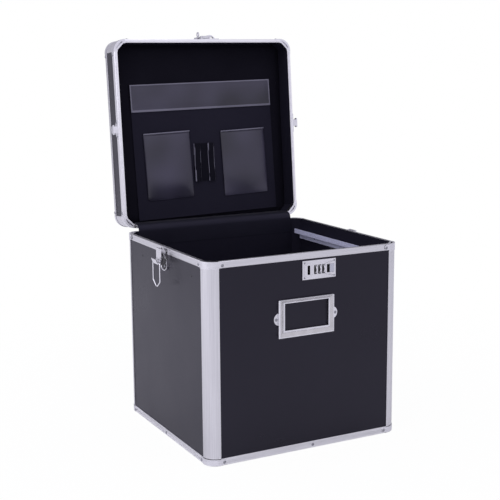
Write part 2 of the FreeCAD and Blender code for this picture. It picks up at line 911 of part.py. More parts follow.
def card_holder():
    """A mitred picture-frame moulding with round ears, and a slot behind it for the card."""
    left = holder_centre - holder_width / 2
    right = holder_centre + holder_width / 2
    top = holder_drop - holder_height / 2
    low = holder_drop + holder_height / 2
    inner_left = left + holder_side
    inner_right = right - holder_side
    inner_top = top + holder_top
    inner_low = low - holder_foot
    moulding = [(0, 0), (0, holder_edge), (ridge_start_share, holder_rise), (ridge_end_share, holder_rise),
                (slope_end_share, holder_low), (bead_start_share, holder_bead), (1, holder_bead), (1, 0)]
    outer = [(left, top), (right, top), (right, low), (left, low)]
    inner = [(inner_left, inner_top), (inner_right, inner_top),
             (inner_right, inner_low), (inner_left, inner_low)]
    inward = [(0, holder_top), (-holder_side, 0), (0, -holder_foot), (holder_side, 0)]
    sides = []
    for i, (across, down) in enumerate(inward):
        p, q = outer[i], outer[(i + 1) % 4]
        push = body_front.at(0, *q).sub(body_front.at(0, *p))
        bar = prism(moulding, lambda t, rise: body_front.at(rise - sheet, p[0] + across * t, p[1] + down * t),
                    push)
        mitre = prism([p, q, inner[(i + 1) % 4], inner[i]], body_front.flat(-sheet - over),
                      body_front.normal * (holder_rise + 2 * over))
        sides.append(bar.common(mitre))
    frame = joined(sides).common(prism(rounded(left, right, top, low, holder_round),
                                       body_front.flat(-sheet - over),
                                       body_front.normal * (holder_rise + 2 * over)))
    parts = [frame]
    for sign in (-1, 1):
        edge = holder_centre + sign * holder_width / 2
        start = body_front.at(-sheet, edge + sign * (ear_reach - ear_radius), holder_drop)
        disc = rod(ear_radius, start, start.add(body_front.normal * ear_sheet))
        beside = body_front.slab(-sheet, holder_rise, edge - sign * over, edge + sign * ear_radius,
                                 holder_drop - ear_radius, holder_drop + ear_radius)
        parts.append(disc.common(beside))
    slot = body_front.slab(-sheet - over, card_slot - sheet,
                           inner_left - card_cover, inner_right + card_cover,
                           top - over, inner_low + card_cover)
    return drilled(joined(parts).cut(slot), holder_seats())


# Draw latches

lever_half = latch_ear_out + side_gap + lever_sheet


def latch_seats():
    return [body_left.seat(latch_sheet, latch_centre, depth) for depth in (latch_rivet_high, latch_rivet_low)]


def latch_base():
    """The latch's wall plate with a bowed foot and two ears for the lever's pin."""
    c = latch_centre
    w = latch_width / 2
    low = latch_top + latch_length
    points = [(c - w, latch_top), (c + w, latch_top), (c + w, low - latch_bow),
              (c, low, c - w, low - latch_bow)]
    plate = body_left.plate(points, latch_sheet)
    start = latch_rim_start
    inner = w - latch_rim
    bow = low - latch_bow
    edge = [(c - w, start), (c - inner, start), (c - inner, bow),
            (c, low - latch_rim, c + inner, bow), (c + inner, start), (c + w, start),
            (c + w, bow), (c, low, c - w, bow)]
    rim = prism(edge, body_left.flat(0), body_left.normal * latch_rim_rise)
    lean = latch_boss / root_two
    x = latch_pin_reach
    d = latch_pin_drop
    ear = [(0, latch_ear_foot_top), (x - lean, d - lean), (x + lean, d - lean, x + lean, d + lean),
           (0, latch_ear_foot)]
    sides = [body_left.side_on(ear, c + s * latch_ear_out, c + s * (latch_ear_out - latch_ear_sheet))
             for s in (-1, 1)]
    base = joined([plate, rim] + sides)
    base = base.cut(latch_pin_bar(latch_pin_radius + close_fit, over))
    return drilled(base, latch_seats())


def latch_pin_bar(radius, longer):
    end = lever_half + side_gap + longer
    return body_left.bar(radius, latch_pin_reach, latch_pin_drop, latch_centre - end, latch_centre + end)


def latch_lever():
    """The lever: a plate with two cheeks on the pin, curled round the bail's bar, with a finger lip."""
    c = latch_centre
    back = lever_reach
    face = lever_reach + lever_sheet
    low = lever_top + lever_length
    x = latch_pin_reach
    d = latch_pin_drop
    plate = body_left.side_on(rect(back, face, lever_top, low), c - lever_half, c + lever_half)
    cheek = [(face, lever_top), (x, d - latch_boss), (x - latch_boss, d, x, d + latch_boss),
             (face, lever_cheek)]
    cheeks = [body_left.side_on(cheek, c + s * lever_half, c + s * (lever_half - lever_sheet))
              for s in (-1, 1)]
    barrel = bail_wire + running_fit + barrel_wall
    ring = barrel - lever_sheet / 2
    start = ((back + face) / 2, low - lever_sheet / 2)
    length = math.hypot(bail_reach - start[0], bail_drop - start[1])
    bend = (bail_reach - ring * (bail_drop - start[1]) / length,
            bail_drop + ring * (bail_reach - start[0]) / length)
    turn = (bail_reach + ring, bail_drop)
    b = barrel_length / 2
    lower = [body_left.side_on(strip(p, q, lever_sheet), c - b, c + b)
             for p, q in ((start, bend), (turn, (lip_reach, lip_drop)))]
    lower.append(body_left.bar(barrel, bail_reach, bail_drop, c - b, c + b))
    lever = joined([plate] + cheeks + lower)
    bore = body_left.bar(bail_wire + running_fit, bail_reach, bail_drop, c - lever_half, c + lever_half)
    return lever.cut([bore, latch_pin_bar(latch_pin_radius + running_fit, over)])


def latch_bail():
    """The wire bail: a closed loop with a straight bar in the lever, two legs and a pointed tip."""
    w = bail_width / 2
    corners = [(-w, 0), (w, 0), (w, bail_leg),
               (bail_tip_half, bail_length), (-bail_tip_half, bail_length), (-w, bail_leg)]
    spots = [body_left.at(bail_reach, latch_centre + a, bail_drop + d) for a, d in corners]
    return wire_loop(spots, bail_bend, bail_wire)


def wire_loop(spots, bend, radius):
    """A closed loop of round wire through the corners given, each rounded to one bend radius."""
    edges = []
    count = len(spots)
    ends = []
    for i, here in enumerate(spots):
        to_last = spots[i - 1].sub(here).normalize()
        to_next = spots[(i + 1) % count].sub(here).normalize()
        angle = to_last.getAngle(to_next)
        reach = bend / math.tan(angle / 2)
        inward = to_last.add(to_next).normalize()
        middle = here.add(inward * (bend / math.sin(angle / 2) - bend))
        ends.append((here.add(to_last * reach), middle, here.add(to_next * reach)))
    for i, (start, middle, end) in enumerate(ends):
        edges.append(Part.Arc(start, middle, end).toShape())
        edges.append(Part.LineSegment(end, ends[(i + 1) % count][0]).toShape())
    path = Part.Wire(edges)
    first = ends[0][2]
    along = ends[1][0].sub(first).normalize()
    ring = Part.Wire(Part.makeCircle(radius, ends[0][0], spots[0].sub(ends[0][0]).normalize()))
    loop = path.makePipeShell([ring], True, False)
    return loop


def lid_catch():
    """The catch: a winged plate with a round neck and a wider lip."""
    c = latch_centre
    w = catch_width / 2
    t = catch_top_width / 2
    rise = catch_height - t / 2
    points = [(c - w, catch_start), (c + w, catch_start), (c + w, catch_shoulder), (c + t, rise),
              (c, catch_height, c - t, rise), (c - w, catch_shoulder)]
    plate = lid_left.plate(points, catch_sheet)
    neck_end = catch_sheet + neck_length
    neck = rod(neck_radius, lid_left.at(0, c, neck_centre), lid_left.at(neck_end, c, neck_centre))
    lip_end = neck_end + catch_lip
    lip = rod(catch_lip_radius, lid_left.at(neck_end, c, neck_centre), lid_left.at(lip_end, c, neck_centre))
    rim = [e for e in lip.Edges if e.BoundBox.XMax < -half_width - lip_end + close_fit]
    lip = lip.makeFillet(catch_lip_round, rim)
    dome = joined([neck, lip])
    dome = dome.cut(lid_left.slab(-over, lip_end + over, c - catch_width, c + catch_width,
                                  catch_start, -catch_height))
    return drilled(joined([plate, dome]), catch_seats())


def catch_seats():
    return [lid_left.seat(catch_sheet, latch_centre + s * catch_rivet_across, catch_rivet_up)
            for s in (-1, 1)]


# Hinges

def hinge_seats(face):
    """The four rivets of one leaf of each of the two hinges."""
    return [face.seat(hinge_leaf, side * hinge_spacing / 2 + s * hinge_rivet_across,
                      hinge_rivet_up + row * hinge_rivet_row)
            for side in (-1, 1) for s in (-1, 1) for row in (0, 1)]


def hinge_leaf_shape(face, centre):
    """A hinge leaf. The body's has the two end knuckles, and the lid's the middle one and the stop."""
    w = hinge_width / 2
    k = w * knuckle_share
    plate = face.plate(rect(centre - w, centre + w, hinge_start, hinge_start + hinge_leaf_length), hinge_leaf)
    deep = -rim_gap / 2
    low = deep + barrel_radius
    bridge = [(0, hinge_start), (hinge_reach, hinge_start), (hinge_reach, low),
              (hinge_leaf, low + bridge_length), (0, low + bridge_length)]
    spans = [(-k, k)]
    if face.half is body:
        spans = [(-w, -k - knuckle_gap), (k + knuckle_gap, w)]
    parts = [plate]
    for a, b in spans:
        parts.append(face.bar(barrel_radius, hinge_reach, deep, centre + a, centre + b))
        parts.append(face.side_on(bridge, centre + a, centre + b))
    if face.half is lid:
        tab_out = hinge_leaf + stop_gap
        tab = body_back.slab(tab_out, tab_out + stop_sheet, centre - k, centre + k, deep, deep + stop_length)
        parts.append(shut(tab))
    leaf = joined(parts)
    fit = close_fit if face.half is body else running_fit
    leaf = leaf.cut(face.bar(hinge_pin_radius + fit, hinge_reach, deep, centre - w - over, centre + w + over))
    return drilled(leaf, hinge_seats(face))


def hinge_pin(centre):
    w = hinge_width / 2
    deep = -rim_gap / 2
    reach = w + pin_head_rise
    bar = body_back.bar(hinge_pin_radius, hinge_reach, deep, centre - reach, centre + reach)
    heads = [body_back.bar(pin_head, hinge_reach, deep, centre + s * w, centre + s * reach)
             for s in (-1, 1)]
    return joined([bar] + heads)


# Hasp

def hasp_seats():
    left = slot_centre - hasp_left + hasp_rivet_head + over
    right = slot_centre + hasp_right - hasp_rivet_head - over
    return [lid_front.seat(hasp_sheet, x, hasp_rivet_up) for x in (left, right)]


def hasp_base():
    """The hasp's wall plate, with two knuckles for the clasp and an arched guard beside it."""
    c = slot_centre
    k = clasp_width / 2 + side_gap
    plate = lid_front.plate(rect(c - hasp_left, c + hasp_right, hasp_low, hasp_high), hasp_sheet)
    top = hasp_axis_up + hasp_barrel
    knuckle = rect(0, hasp_axis_reach, hasp_low, top)
    parts = [plate]
    for s in (-1, 1):
        parts.append(lid_front.side_on(knuckle, c + s * k, c + s * hasp_left))
        parts.append(lid_front.bar(hasp_barrel, hasp_axis_reach, hasp_axis_up, c + s * k, c + s * hasp_left))
    x0 = c + hasp_left + guard_gap - guard_sheet
    x1 = x0 + guard_width
    middle = (x0 + x1) / 2
    t = guard_sheet
    arch = [(x0, 0), (x0, guard_leg), (middle, guard_height, x1, guard_leg), (x1, 0), (x1 - t, 0),
            (x1 - t, guard_leg), (middle, guard_height - t, x0 + t, guard_leg), (x0 + t, 0)]
    tall = vec(0, 0, guard_high - guard_low)
    parts.append(prism(arch, lambda x, out: lid_front.at(out, x, guard_low), tall))
    base = joined(parts)
    base = base.cut(hasp_pin_bar(hasp_pin_radius + close_fit, over))
    return drilled(base, hasp_seats())


def hasp_pin_bar(radius, longer):
    end = hasp_left + longer
    return lid_front.bar(radius, hasp_axis_reach, hasp_axis_up, slot_centre - end, slot_centre + end)


def hasp_clasp():
    """The clasp, folded up against the lid: a plate with a knuckle, a staple ring and a finger tab."""
    c = slot_centre
    w = clasp_width / 2
    far = hasp_axis_reach - clasp_seat - lock_face
    face = hasp_axis_reach + far
    back = face - clasp_sheet
    tip = hasp_axis_up + clasp_length
    ring_up = hasp_axis_up + hasp_axis_up + rim_gap + lock_drop
    plate = lid_front.side_on(rect(back, face, hasp_axis_up, tip), c - w, c + w)
    barrel = lid_front.bar(hasp_barrel, hasp_axis_reach, hasp_axis_up, c - w, c + w)
    tab = lid_front.side_on(rect(back - tab_rise, face, tip - tab_sheet, tip), c - w, c + w)
    s = staple_width / 2
    outline = rect(back, face + staple_rise, ring_up - staple_bore, ring_up + staple_bore)
    neck = lid_front.side_on(outline, c - s, c + s)
    ring = lid_front.bar(staple_radius, face + staple_rise, ring_up, c - s, c + s)
    bore = lid_front.bar(staple_bore, face + staple_rise, ring_up, c - w, c + w)
    clasp = joined([plate, barrel, tab, neck, ring]).cut(bore)
    return clasp.cut(hasp_pin_bar(hasp_pin_radius + running_fit, over))


# Carry handle on the lid

handle_y = -handle_offset
top_z = lid.z(lid_height - sheet)


def bracket_seats():
    """Two rivets in each bracket, on the saddle's outer side, clear of the handle's arms."""
    x = handle_span / 2 + bracket_saddle / 2 + rivet_head + side_gap
    return [(vec(side * x, handle_y + s * bracket_rivet, top_z + bracket_sheet), vec(0, 0, 1))
            for side in (-1, 1) for s in (-1, 1)]


def handle_bracket(side):
    """A bracket: a plate with a saddle that takes one of the handle's pins."""
    x = side * handle_span / 2
    s = bracket_saddle / 2
    hub = handle_pin + saddle_wall
    plate = block(x - bracket_width / 2, x + bracket_width / 2, handle_y - bracket_length / 2,
                  handle_y + bracket_length / 2, top_z, top_z + bracket_sheet)
    foot = block(x - s, x + s, handle_y - hub, handle_y + hub, top_z, top_z + handle_axis_rise)
    axis_z = top_z + handle_axis_rise
    cap = rod(hub, vec(x - s, handle_y, axis_z), vec(x + s, handle_y, axis_z))
    bore = rod(handle_pin + running_fit, vec(x - bracket_width, handle_y, top_z + handle_axis_rise),
               vec(x + bracket_width, handle_y, top_z + handle_axis_rise))
    return joined([plate, foot, cap]).cut(bore)


def carry_handle():
    """The handle, lying flat: two arms with pins in the brackets, and a thick grip between them."""
    pin_end = handle_span / 2 + bracket_saddle / 2
    arm_out = handle_span / 2 - bracket_saddle / 2 - side_gap
    arm_in = arm_out - handle_arm
    axis = top_z + handle_axis_rise
    a = handle_arm_half
    grip_y = handle_y + handle_offset
    parts = []
    for s in (-1, 1):
        hub = rod(a, vec(s * arm_in, handle_y, axis), vec(s * arm_out, handle_y, axis))
        arm = block(s * arm_in, s * arm_out, handle_y, grip_y, axis - a, axis + a)
        pin = rod(handle_pin, vec(s * (arm_out - over), handle_y, axis), vec(s * pin_end, handle_y, axis))
        parts += [hub, arm, pin]
    low = top_z + handle_clear
    grip = block(-arm_out, arm_out, grip_y - grip_width / 2, grip_y + grip_width / 2, low, low + grip_thick)
    long_edges = [e for e in grip.Edges if e.BoundBox.XLength > arm_out]
    grip = grip.makeFillet(grip_round, long_edges)
    return joined([grip] + parts)


# Soft pieces inside the lid

pad_deep = lid_height - sheet - board - lining - soft_gap
pad_face = pad_deep - pad_thick
panel_face = pad_face - soft_gap - panel_thick


def soft_box(x0, x1, d0, d1, deep, thick, bend):
    """A soft flat piece on the lid's padding, its exposed edges rounded."""
    y0 = half_depth - d1
    y1 = half_depth - d0
    z1 = lid.z(deep)
    z0 = z1 - thick
    box = block(x0, x1, y0, y1, z0, z1)
    edges = [e for e in box.Edges if e.BoundBox.ZMax < z1 - close_fit or e.BoundBox.ZLength > thick / 2]
    return box.makeFillet(bend, edges)


def slanted(shape, centre, d0, d1, angle):
    """A soft piece turned about its middle, so that its left end is nearer to the hinge."""
    turned = shape.copy()
    turned.rotate(vec(centre, half_depth - (d0 + d1) / 2, 0), vec(0, 0, 1), -angle)
    return turned


def lid_padding():
    return octagon(wall + soft_gap, lid.z(pad_face), lid.z(pad_deep))


def wide_pocket():
    """The wide pocket on the cloth panel that it is sewn to, which reaches down behind the other pockets."""
    half = wide_pocket_width / 2
    left = wide_pocket_centre - half
    right = wide_pocket_centre + half
    deep = pad_face - soft_gap
    pocket = soft_box(left, right, wide_pocket_low, wide_pocket_high, panel_face, wide_pocket_thick,
                      wide_pocket_thick / 2 - close_fit)
    panel = block(left, right, half_depth - wide_pocket_high, half_depth - panel_low,
                  lid.z(deep), lid.z(panel_face))
    whole = joined([pocket, panel])
    return slanted(whole, wide_pocket_centre, wide_pocket_low, wide_pocket_high, wide_pocket_slant)


def cd_pocket(side):
    """A puffed disc pocket on one side of the pen loops."""
    centre = cd_centre + side * cd_spacing / 2
    half = cd_width / 2
    puff = soft_box(centre - half, centre + half, cd_low, cd_high, panel_face - soft_gap, cd_thick, cd_round)
    return slanted(puff, centre, cd_low, cd_high, cd_slant)


def pen_loop(side):
    """An elastic band across the padding, standing off it in a shallow arch that a pen slides under."""
    centre = side * loop_spacing / 2
    half = loop_width / 2
    base = panel_face - soft_gap
    b = loop_band
    foot = half - b
    points = [(centre - half, base), (centre, base - loop_thick, centre + half, base),
              (centre + foot, base), (centre, base - loop_thick + b, centre - foot, base)]
    along = vec(0, loop_high - loop_low, 0)
    return prism(points, lambda x, deep: vec(x, half_depth - loop_high, lid.z(deep)), along)


def hinge_gusset():
    """The cloth over the hinge, in the open pose: up the back wall, round the hinge and into the lid."""
    near = hinge_reach + wall + soft_gap
    far = near + cloth
    turn = math.radians(180 - open_angle)
    middle = math.radians(180 - open_angle / 2)
    run = math.radians(90 - open_angle)

    def on_arc(radius, angle):
        return (hinge_y + radius * math.cos(angle), hinge_z + radius * math.sin(angle))

    def on_lid(radius):
        y, z = on_arc(radius, turn)
        return (y + gusset_tail * math.cos(run), z + gusset_tail * math.sin(run))

    points = [
        (hinge_y - near, hinge_z - gusset_tail), (hinge_y - near, hinge_z),
        on_arc(near, middle) + on_arc(near, turn), on_lid(near), on_lid(far), on_arc(far, turn),
        on_arc(far, middle) + (hinge_y - far, hinge_z), (hinge_y - far, hinge_z - gusset_tail),
    ]
    return prism(points, lambda y, z: vec(-gusset_width / 2, y, z), vec(gusset_width, 0, 0))


# Body

parts_of_body = build_half(body)
mid_depth = body_height - base_rivet_drop
mid_seats = [body_front.seat(0, mid_rivet_front, mid_depth), body_back.seat(0, mid_rivet_front, mid_depth),
             body_left.seat(0, mid_rivet_side, mid_depth),
             (vec(half_width, mid_rivet_side, body.z(mid_depth)), vec(1, 0, 0))]
left_fits = latch_seats()
screws = rail_screw_seats()
front_panel = drilled(parts_of_body["front"], holder_seats() + mid_seats).cut(lock_room(close_fit, wall))
back_panel = drilled(parts_of_body["back"], hinge_seats(body_back) + mid_seats)
left_panel = drilled(parts_of_body["left"], left_fits + mid_seats)
left_panel = drilled(left_panel, screws, rivet_shank, rail_screw_grip)
liner = parts_of_body["lining"].cut(lock_room(close_fit, wall))
liner = drilled(liner, both_sides(screws), rivet_shank, rail_screw_grip)

keep("body_front_panel", front_panel)
keep("body_back_panel", back_panel)
keep("body_left_panel", left_panel)
keep("body_right_panel", mirrored(left_panel, x=True))
keep("body_base_panel", parts_of_body["end"])
keep("body_corner_posts", parts_of_body["posts"])
keep("body_rim_rails", parts_of_body["rims"])
keep("body_rim_corners", parts_of_body["rim_caps"])
keep("body_base_rails", [drilled(rail, mid_seats) for rail in parts_of_body["ends"]])
keep("body_base_corners", parts_of_body["end_caps"])
keep("body_corner_rivets", parts_of_body["rivets"] + [rivet(p, n) for p, n in mid_seats])
keep("body_lining", liner)
keep("hanging_rails", [hanging_rail(), mirrored(hanging_rail(), x=True)])
keep("hanging_rail_screws", [rivet(p, n, screw_head, screw_rise, rivet_shank, rail_screw_grip)
                             for p, n in both_sides(screws)])

keep("lock_plate", lock_plate())
keep("lock_case", lock_case())
keep("lock_axle", body_front.bar(axle_radius, dial_out, lock_drop, cheek_left, cheek_right))
for number, place in enumerate(dial_places(), 1):
    keep("lock_dial_%d" % number, lock_dial(place))
keep("lock_slider", lock_slider())
keep("lock_bolt", lock_bolt())
keep("lock_spring", lock_spring())
keep("card_holder", card_holder())

keep("latch_base_left", latch_base())
keep("latch_base_right", mirrored(latch_base(), x=True))
keep("latch_pins", [latch_pin_bar(latch_pin_radius, 0), mirrored(latch_pin_bar(latch_pin_radius, 0), x=True)])
keep("latch_lever_left", latch_lever())
keep("latch_lever_right", mirrored(latch_lever(), x=True))
keep("latch_bail_left", latch_bail())
keep("latch_bail_right", mirrored(latch_bail(), x=True))
keep("hinge_body_leaves", [hinge_leaf_shape(body_back, s * hinge_spacing / 2) for s in (-1, 1)])
keep("hinge_pins", [hinge_pin(s * hinge_spacing / 2) for s in (-1, 1)])
keep("body_fitting_rivets",
     [rivet(p, n) for p, n in holder_seats() + both_sides(left_fits) + hinge_seats(body_back)]
     + [rivet(p, n, lock_rivet_head, lock_rivet_rise, lock_rivet_shank, lock_rivet_grip)
        for p, n in lock_rivet_seats()])

# Lid

parts_of_lid = build_half(lid)
lid_left_panel = drilled(parts_of_lid["left"], catch_seats())
rim_seats = both_sides(catch_seats()) + hasp_seats() + hinge_seats(lid_back)
lid_rims = [drilled(rail, rim_seats) for rail in parts_of_lid["rims"]]
lid_ends = [drilled(rail, hinge_seats(lid_back)) for rail in parts_of_lid["ends"]]

lid_pieces = {
    "lid_front_panel": drilled(parts_of_lid["front"], hasp_seats()),
    "lid_back_panel": drilled(parts_of_lid["back"], hinge_seats(lid_back)),
    "lid_left_panel": lid_left_panel,
    "lid_right_panel": mirrored(lid_left_panel, x=True),
    "lid_top_panel": drilled(parts_of_lid["end"], bracket_seats()),
    "lid_corner_posts": parts_of_lid["posts"],
    "lid_rim_rails": lid_rims,
    "lid_rim_corners": parts_of_lid["rim_caps"],
    "lid_top_rails": lid_ends,
    "lid_top_corners": parts_of_lid["end_caps"],
    "lid_corner_rivets": parts_of_lid["rivets"],
    "lid_lining": parts_of_lid["lining"],
    "lid_padding": lid_padding(),
    "wide_pocket": wide_pocket(),
    "cd_pocket_left": cd_pocket(-1),
    "cd_pocket_right": cd_pocket(1),
    "pen_loops": [pen_loop(-1), pen_loop(1)],
    "lid_catches": [lid_catch(), mirrored(lid_catch(), x=True)],
    "hinge_lid_leaves": [hinge_leaf_shape(lid_back, s * hinge_spacing / 2) for s in (-1, 1)],
    "hasp_base": hasp_base(),
    "hasp_pin": hasp_pin_bar(hasp_pin_radius, 0),
    "hasp_clasp": hasp_clasp(),
    "handle_brackets": [drilled(handle_bracket(s), bracket_seats()) for s in (-1, 1)],
    "carry_handle": carry_handle(),
    "lid_fitting_rivets": (
        [rivet(p, n, catch_rivet_head) for p, n in both_sides(catch_seats())]
        + [rivet(p, n, hasp_rivet_head) for p, n in hasp_seats()]
        + [rivet(p, n) for p, n in hinge_seats(lid_back) + bracket_seats()]),
}
for name, shape in lid_pieces.items():
    keep(name, [opened(s) for s in shape] if isinstance(shape, list) else opened(shape))

keep("hinge_gusset", hinge_gusset())

os.makedirs("parts", exist_ok=True)
for name, shape in pieces.items():
    shape.exportStep("parts/%s.step" % name)
    box = shape.BoundBox
    print("%-22s solids %2d valid %s volume %10.1f  x %.1f..%.1f y %.1f..%.1f z %.1f..%.1f" % (
        name, len(shape.Solids), shape.isValid(), shape.Volume,
        box.XMin, box.XMax, box.YMin, box.YMax, box.ZMin, box.ZMax))
print("nodes", len(pieces))
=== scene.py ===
# %% [markdown]
# A record carrying case, dressed for a studio picture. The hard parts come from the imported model:
# boards, aluminium edging, corner caps, latches, lock and hinges. This script gives them their
# finishes, models the soft parts and the wheels' figures, and sets the camera and the lights. Each step
# has a cell like this one, which says what the piece is and why it is made in this way.

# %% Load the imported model
import json
import math

import bpy
from mathutils import Matrix, Vector


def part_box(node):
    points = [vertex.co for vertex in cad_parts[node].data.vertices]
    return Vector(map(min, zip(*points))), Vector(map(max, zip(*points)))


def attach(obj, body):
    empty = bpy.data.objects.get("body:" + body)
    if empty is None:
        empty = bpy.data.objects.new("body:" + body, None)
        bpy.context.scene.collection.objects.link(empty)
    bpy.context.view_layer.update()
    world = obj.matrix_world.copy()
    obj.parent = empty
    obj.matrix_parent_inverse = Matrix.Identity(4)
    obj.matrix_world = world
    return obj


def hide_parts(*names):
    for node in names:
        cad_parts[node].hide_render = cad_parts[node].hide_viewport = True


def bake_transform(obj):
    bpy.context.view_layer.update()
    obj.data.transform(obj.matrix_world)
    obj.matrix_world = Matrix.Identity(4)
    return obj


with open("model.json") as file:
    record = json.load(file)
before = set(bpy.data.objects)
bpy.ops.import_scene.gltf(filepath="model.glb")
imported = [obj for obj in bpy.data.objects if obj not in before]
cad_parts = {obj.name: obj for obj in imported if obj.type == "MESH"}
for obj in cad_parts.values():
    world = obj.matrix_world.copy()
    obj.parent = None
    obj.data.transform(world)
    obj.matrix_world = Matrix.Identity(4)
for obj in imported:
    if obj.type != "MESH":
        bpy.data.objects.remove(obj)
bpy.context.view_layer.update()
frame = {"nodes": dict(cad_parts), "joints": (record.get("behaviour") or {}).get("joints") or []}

MM = 0.001
nodes = frame["nodes"]
joints = {joint["name"]: joint for joint in frame["joints"]}

# %% [markdown]
# The lid rests open, leaning back a little past upright. Its soft parts are easier to model flat, in
# the lid's own place: X across, Y up from the hinge edge, Z out of the padding towards the viewer. One
# matrix then carries a finished piece from there to the open lid. The matrix comes from the hinge's
# place and its range of travel.

# %% The lid's own place
hinge = Vector(joints["lid_hinge"]["pos_m"])
open_angle = math.radians(joints["lid_hinge"]["range_deg"][1])
half_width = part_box("body_rim_rails")[1].x
half_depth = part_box("body_rim_rails")[1].y
rim_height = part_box("body_rim_rails")[1].z
rim_gap = 2 * (hinge.z - rim_height)
lid_place = (
    Matrix.Translation(hinge)
    @ Matrix.Rotation(-open_angle, 4, "X")
    @ Matrix.Translation(Vector((0, half_depth, rim_height + rim_gap)) - hinge)
    @ Matrix.Rotation(math.pi, 4, "X")
)
to_lid = lid_place.inverted()


def lid_box(node):
    """Lowest and highest corner of a lid node in the lid's own place."""
    spots = [to_lid @ vertex.co for vertex in nodes[node].data.vertices]
    low = Vector([min(spot[i] for spot in spots) for i in range(3)])
    high = Vector([max(spot[i] for spot in spots) for i in range(3)])
    return low, high


def level_box(node, slant):
    """The box of a piece sewn on at a slant, measured level, and the turn that brings back the slant."""
    low, high = lid_box(node)
    middle = Matrix.Translation((low + high) / 2)
    turn = middle @ Matrix.Rotation(math.radians(slant), 4, "Z") @ middle.inverted()
    level = turn.inverted() @ to_lid
    spots = [level @ vertex.co for vertex in nodes[node].data.vertices]
    low = Vector([min(spot[i] for spot in spots) for i in range(3)])
    high = Vector([max(spot[i] for spot in spots) for i in range(3)])
    return low, high, turn


pad_low, pad_high = lid_box("lid_padding")
print("padding's face lies", round(-pad_high.z / MM, 1), "mm behind the lid's rim")

# %% [markdown]
# The camera stands where the photograph was taken: low, in front and to the left, with a long lens. Its
# place and its three turns were found by fitting the straight edges of the case. A Track To constraint
# could aim it as well, but it has no small roll, which the fit gives too. A camera looks along its own
# -Z, so its matrix is built from the right, up and forward directions.

# %% Camera
CAMERA_PLACE = Vector((-0.86174, -1.61746, 0.64222))
CAMERA_YAW = math.radians(27.61)
CAMERA_PITCH = math.radians(10.35)
CAMERA_ROLL = math.radians(-0.41)
CAMERA_LENS = 77.22
CAMERA_SENSOR = 36.0


def camera_turn(yaw, pitch, roll):
    """The rotation of a camera that looks to the right by yaw and down by pitch."""
    forward = Vector((math.sin(yaw) * math.cos(pitch), math.cos(yaw) * math.cos(pitch), -math.sin(pitch)))
    level = Vector((math.cos(yaw), -math.sin(yaw), 0))
    rise = level.cross(forward)
    right = math.cos(roll) * level + math.sin(roll) * rise
    up = -math.sin(roll) * level + math.cos(roll) * rise
    return Matrix((right, up, -forward)).transposed().to_4x4()


lens = bpy.data.cameras.new("camera")
lens.sensor_width = CAMERA_SENSOR
lens.lens = CAMERA_LENS
camera = bpy.data.objects.new("camera", lens)
bpy.context.scene.collection.objects.link(camera)
camera.matrix_world = Matrix.Translation(CAMERA_PLACE) @ camera_turn(CAMERA_YAW, CAMERA_PITCH, CAMERA_ROLL)
bpy.context.scene.camera = camera
print("camera stands", round(CAMERA_PLACE.length, 2), "m from the case's middle")

# %% [markdown]
# Each finish is a small node tree on Object coordinates, so it needs no unwrapping and stays put on the
# part. These helpers make a new material and join the usual nodes, and each finish then has its own
# short function.

# %% Helpers for materials
def new_material(name):
    """A fresh material, its node tree and its shader."""
    made = bpy.data.materials.new(name)
    made.use_nodes = True
    tree = made.node_tree
    tree.nodes.clear()
    shader = tree.nodes.new("ShaderNodeBsdfPrincipled")
    output = tree.nodes.new("ShaderNodeOutputMaterial")
    tree.links.new(shader.outputs["BSDF"], output.inputs["Surface"])
    return made, tree, shader


def place_coords(tree, stretch=(1, 1, 1)):
    """Object coordinates, stretched by a Mapping node."""
    coords = tree.nodes.new("ShaderNodeTexCoord")
    mapping = tree.nodes.new("ShaderNodeMapping")
    mapping.inputs["Scale"].default_value = stretch
    tree.links.new(coords.outputs["Object"], mapping.inputs["Vector"])
    return mapping.outputs["Vector"]


def noise(tree, vector, scale, detail=3.0, roughness=0.55):
    """A noise texture on given coordinates, as a socket from 0 to 1."""
    texture = tree.nodes.new("ShaderNodeTexNoise")
    texture.inputs["Scale"].default_value = scale
    texture.inputs["Detail"].default_value = detail
    texture.inputs["Roughness"].default_value = roughness
    tree.links.new(vector, texture.inputs["Vector"])
    return texture.outputs["Fac"]


def remap(tree, value, low, high, low_in=0.3, high_in=0.7):
    """Spreads a noise value between two limits."""
    spread = tree.nodes.new("ShaderNodeMapRange")
    spread.inputs["From Min"].default_value = low_in
    spread.inputs["From Max"].default_value = high_in
    spread.inputs["To Min"].default_value = low
    spread.inputs["To Max"].default_value = high
    tree.links.new(value, spread.inputs["Value"])
    return spread.outputs["Result"]


def two_tone(tree, value, dark, light):
    """Mixes two colours by a value."""
    mix = tree.nodes.new("ShaderNodeMix")
    mix.data_type = "RGBA"
    mix.inputs["A"].default_value = (*dark, 1)
    mix.inputs["B"].default_value = (*light, 1)
    tree.links.new(value, mix.inputs["Factor"])
    return mix.outputs["Result"]


def bumped(tree, shader, height, distance, strength=1.0):
    """Turns a height into small bumps of a real depth."""
    bump = tree.nodes.new("ShaderNodeBump")
    bump.inputs["Distance"].default_value = distance
    bump.inputs["Strength"].default_value = strength
    tree.links.new(height, bump.inputs["Height"])
    tree.links.new(bump.outputs["Normal"], shader.inputs["Normal"])


# %% [markdown]
# The boards are plywood with a satin black laminate, which has a fine pebbled grain and reflects
# softly. A picture of the grain could be wrapped round the boards, but noise has no seams and doesn't
# repeat. A fine noise is the grain's bump, and a slower one varies the gloss a little, as handling
# does. The sides have a version with a slightly stronger tint in their reflection.

# %% Black laminate
LAMINATE_DARK = (0.0008, 0.0008, 0.001)
LAMINATE_LIGHT = (0.002, 0.0019, 0.0026)
LAMINATE_SHEEN = (0.80, 0.76, 1.0)
LAMINATE_GLOSS = 0.44
LAMINATE_ROUGH = (0.26, 0.34)
HANDLING_SCALE = 9.0
GRAIN_SCALE = 1100.0
GRAIN_DEPTH = 0.00006


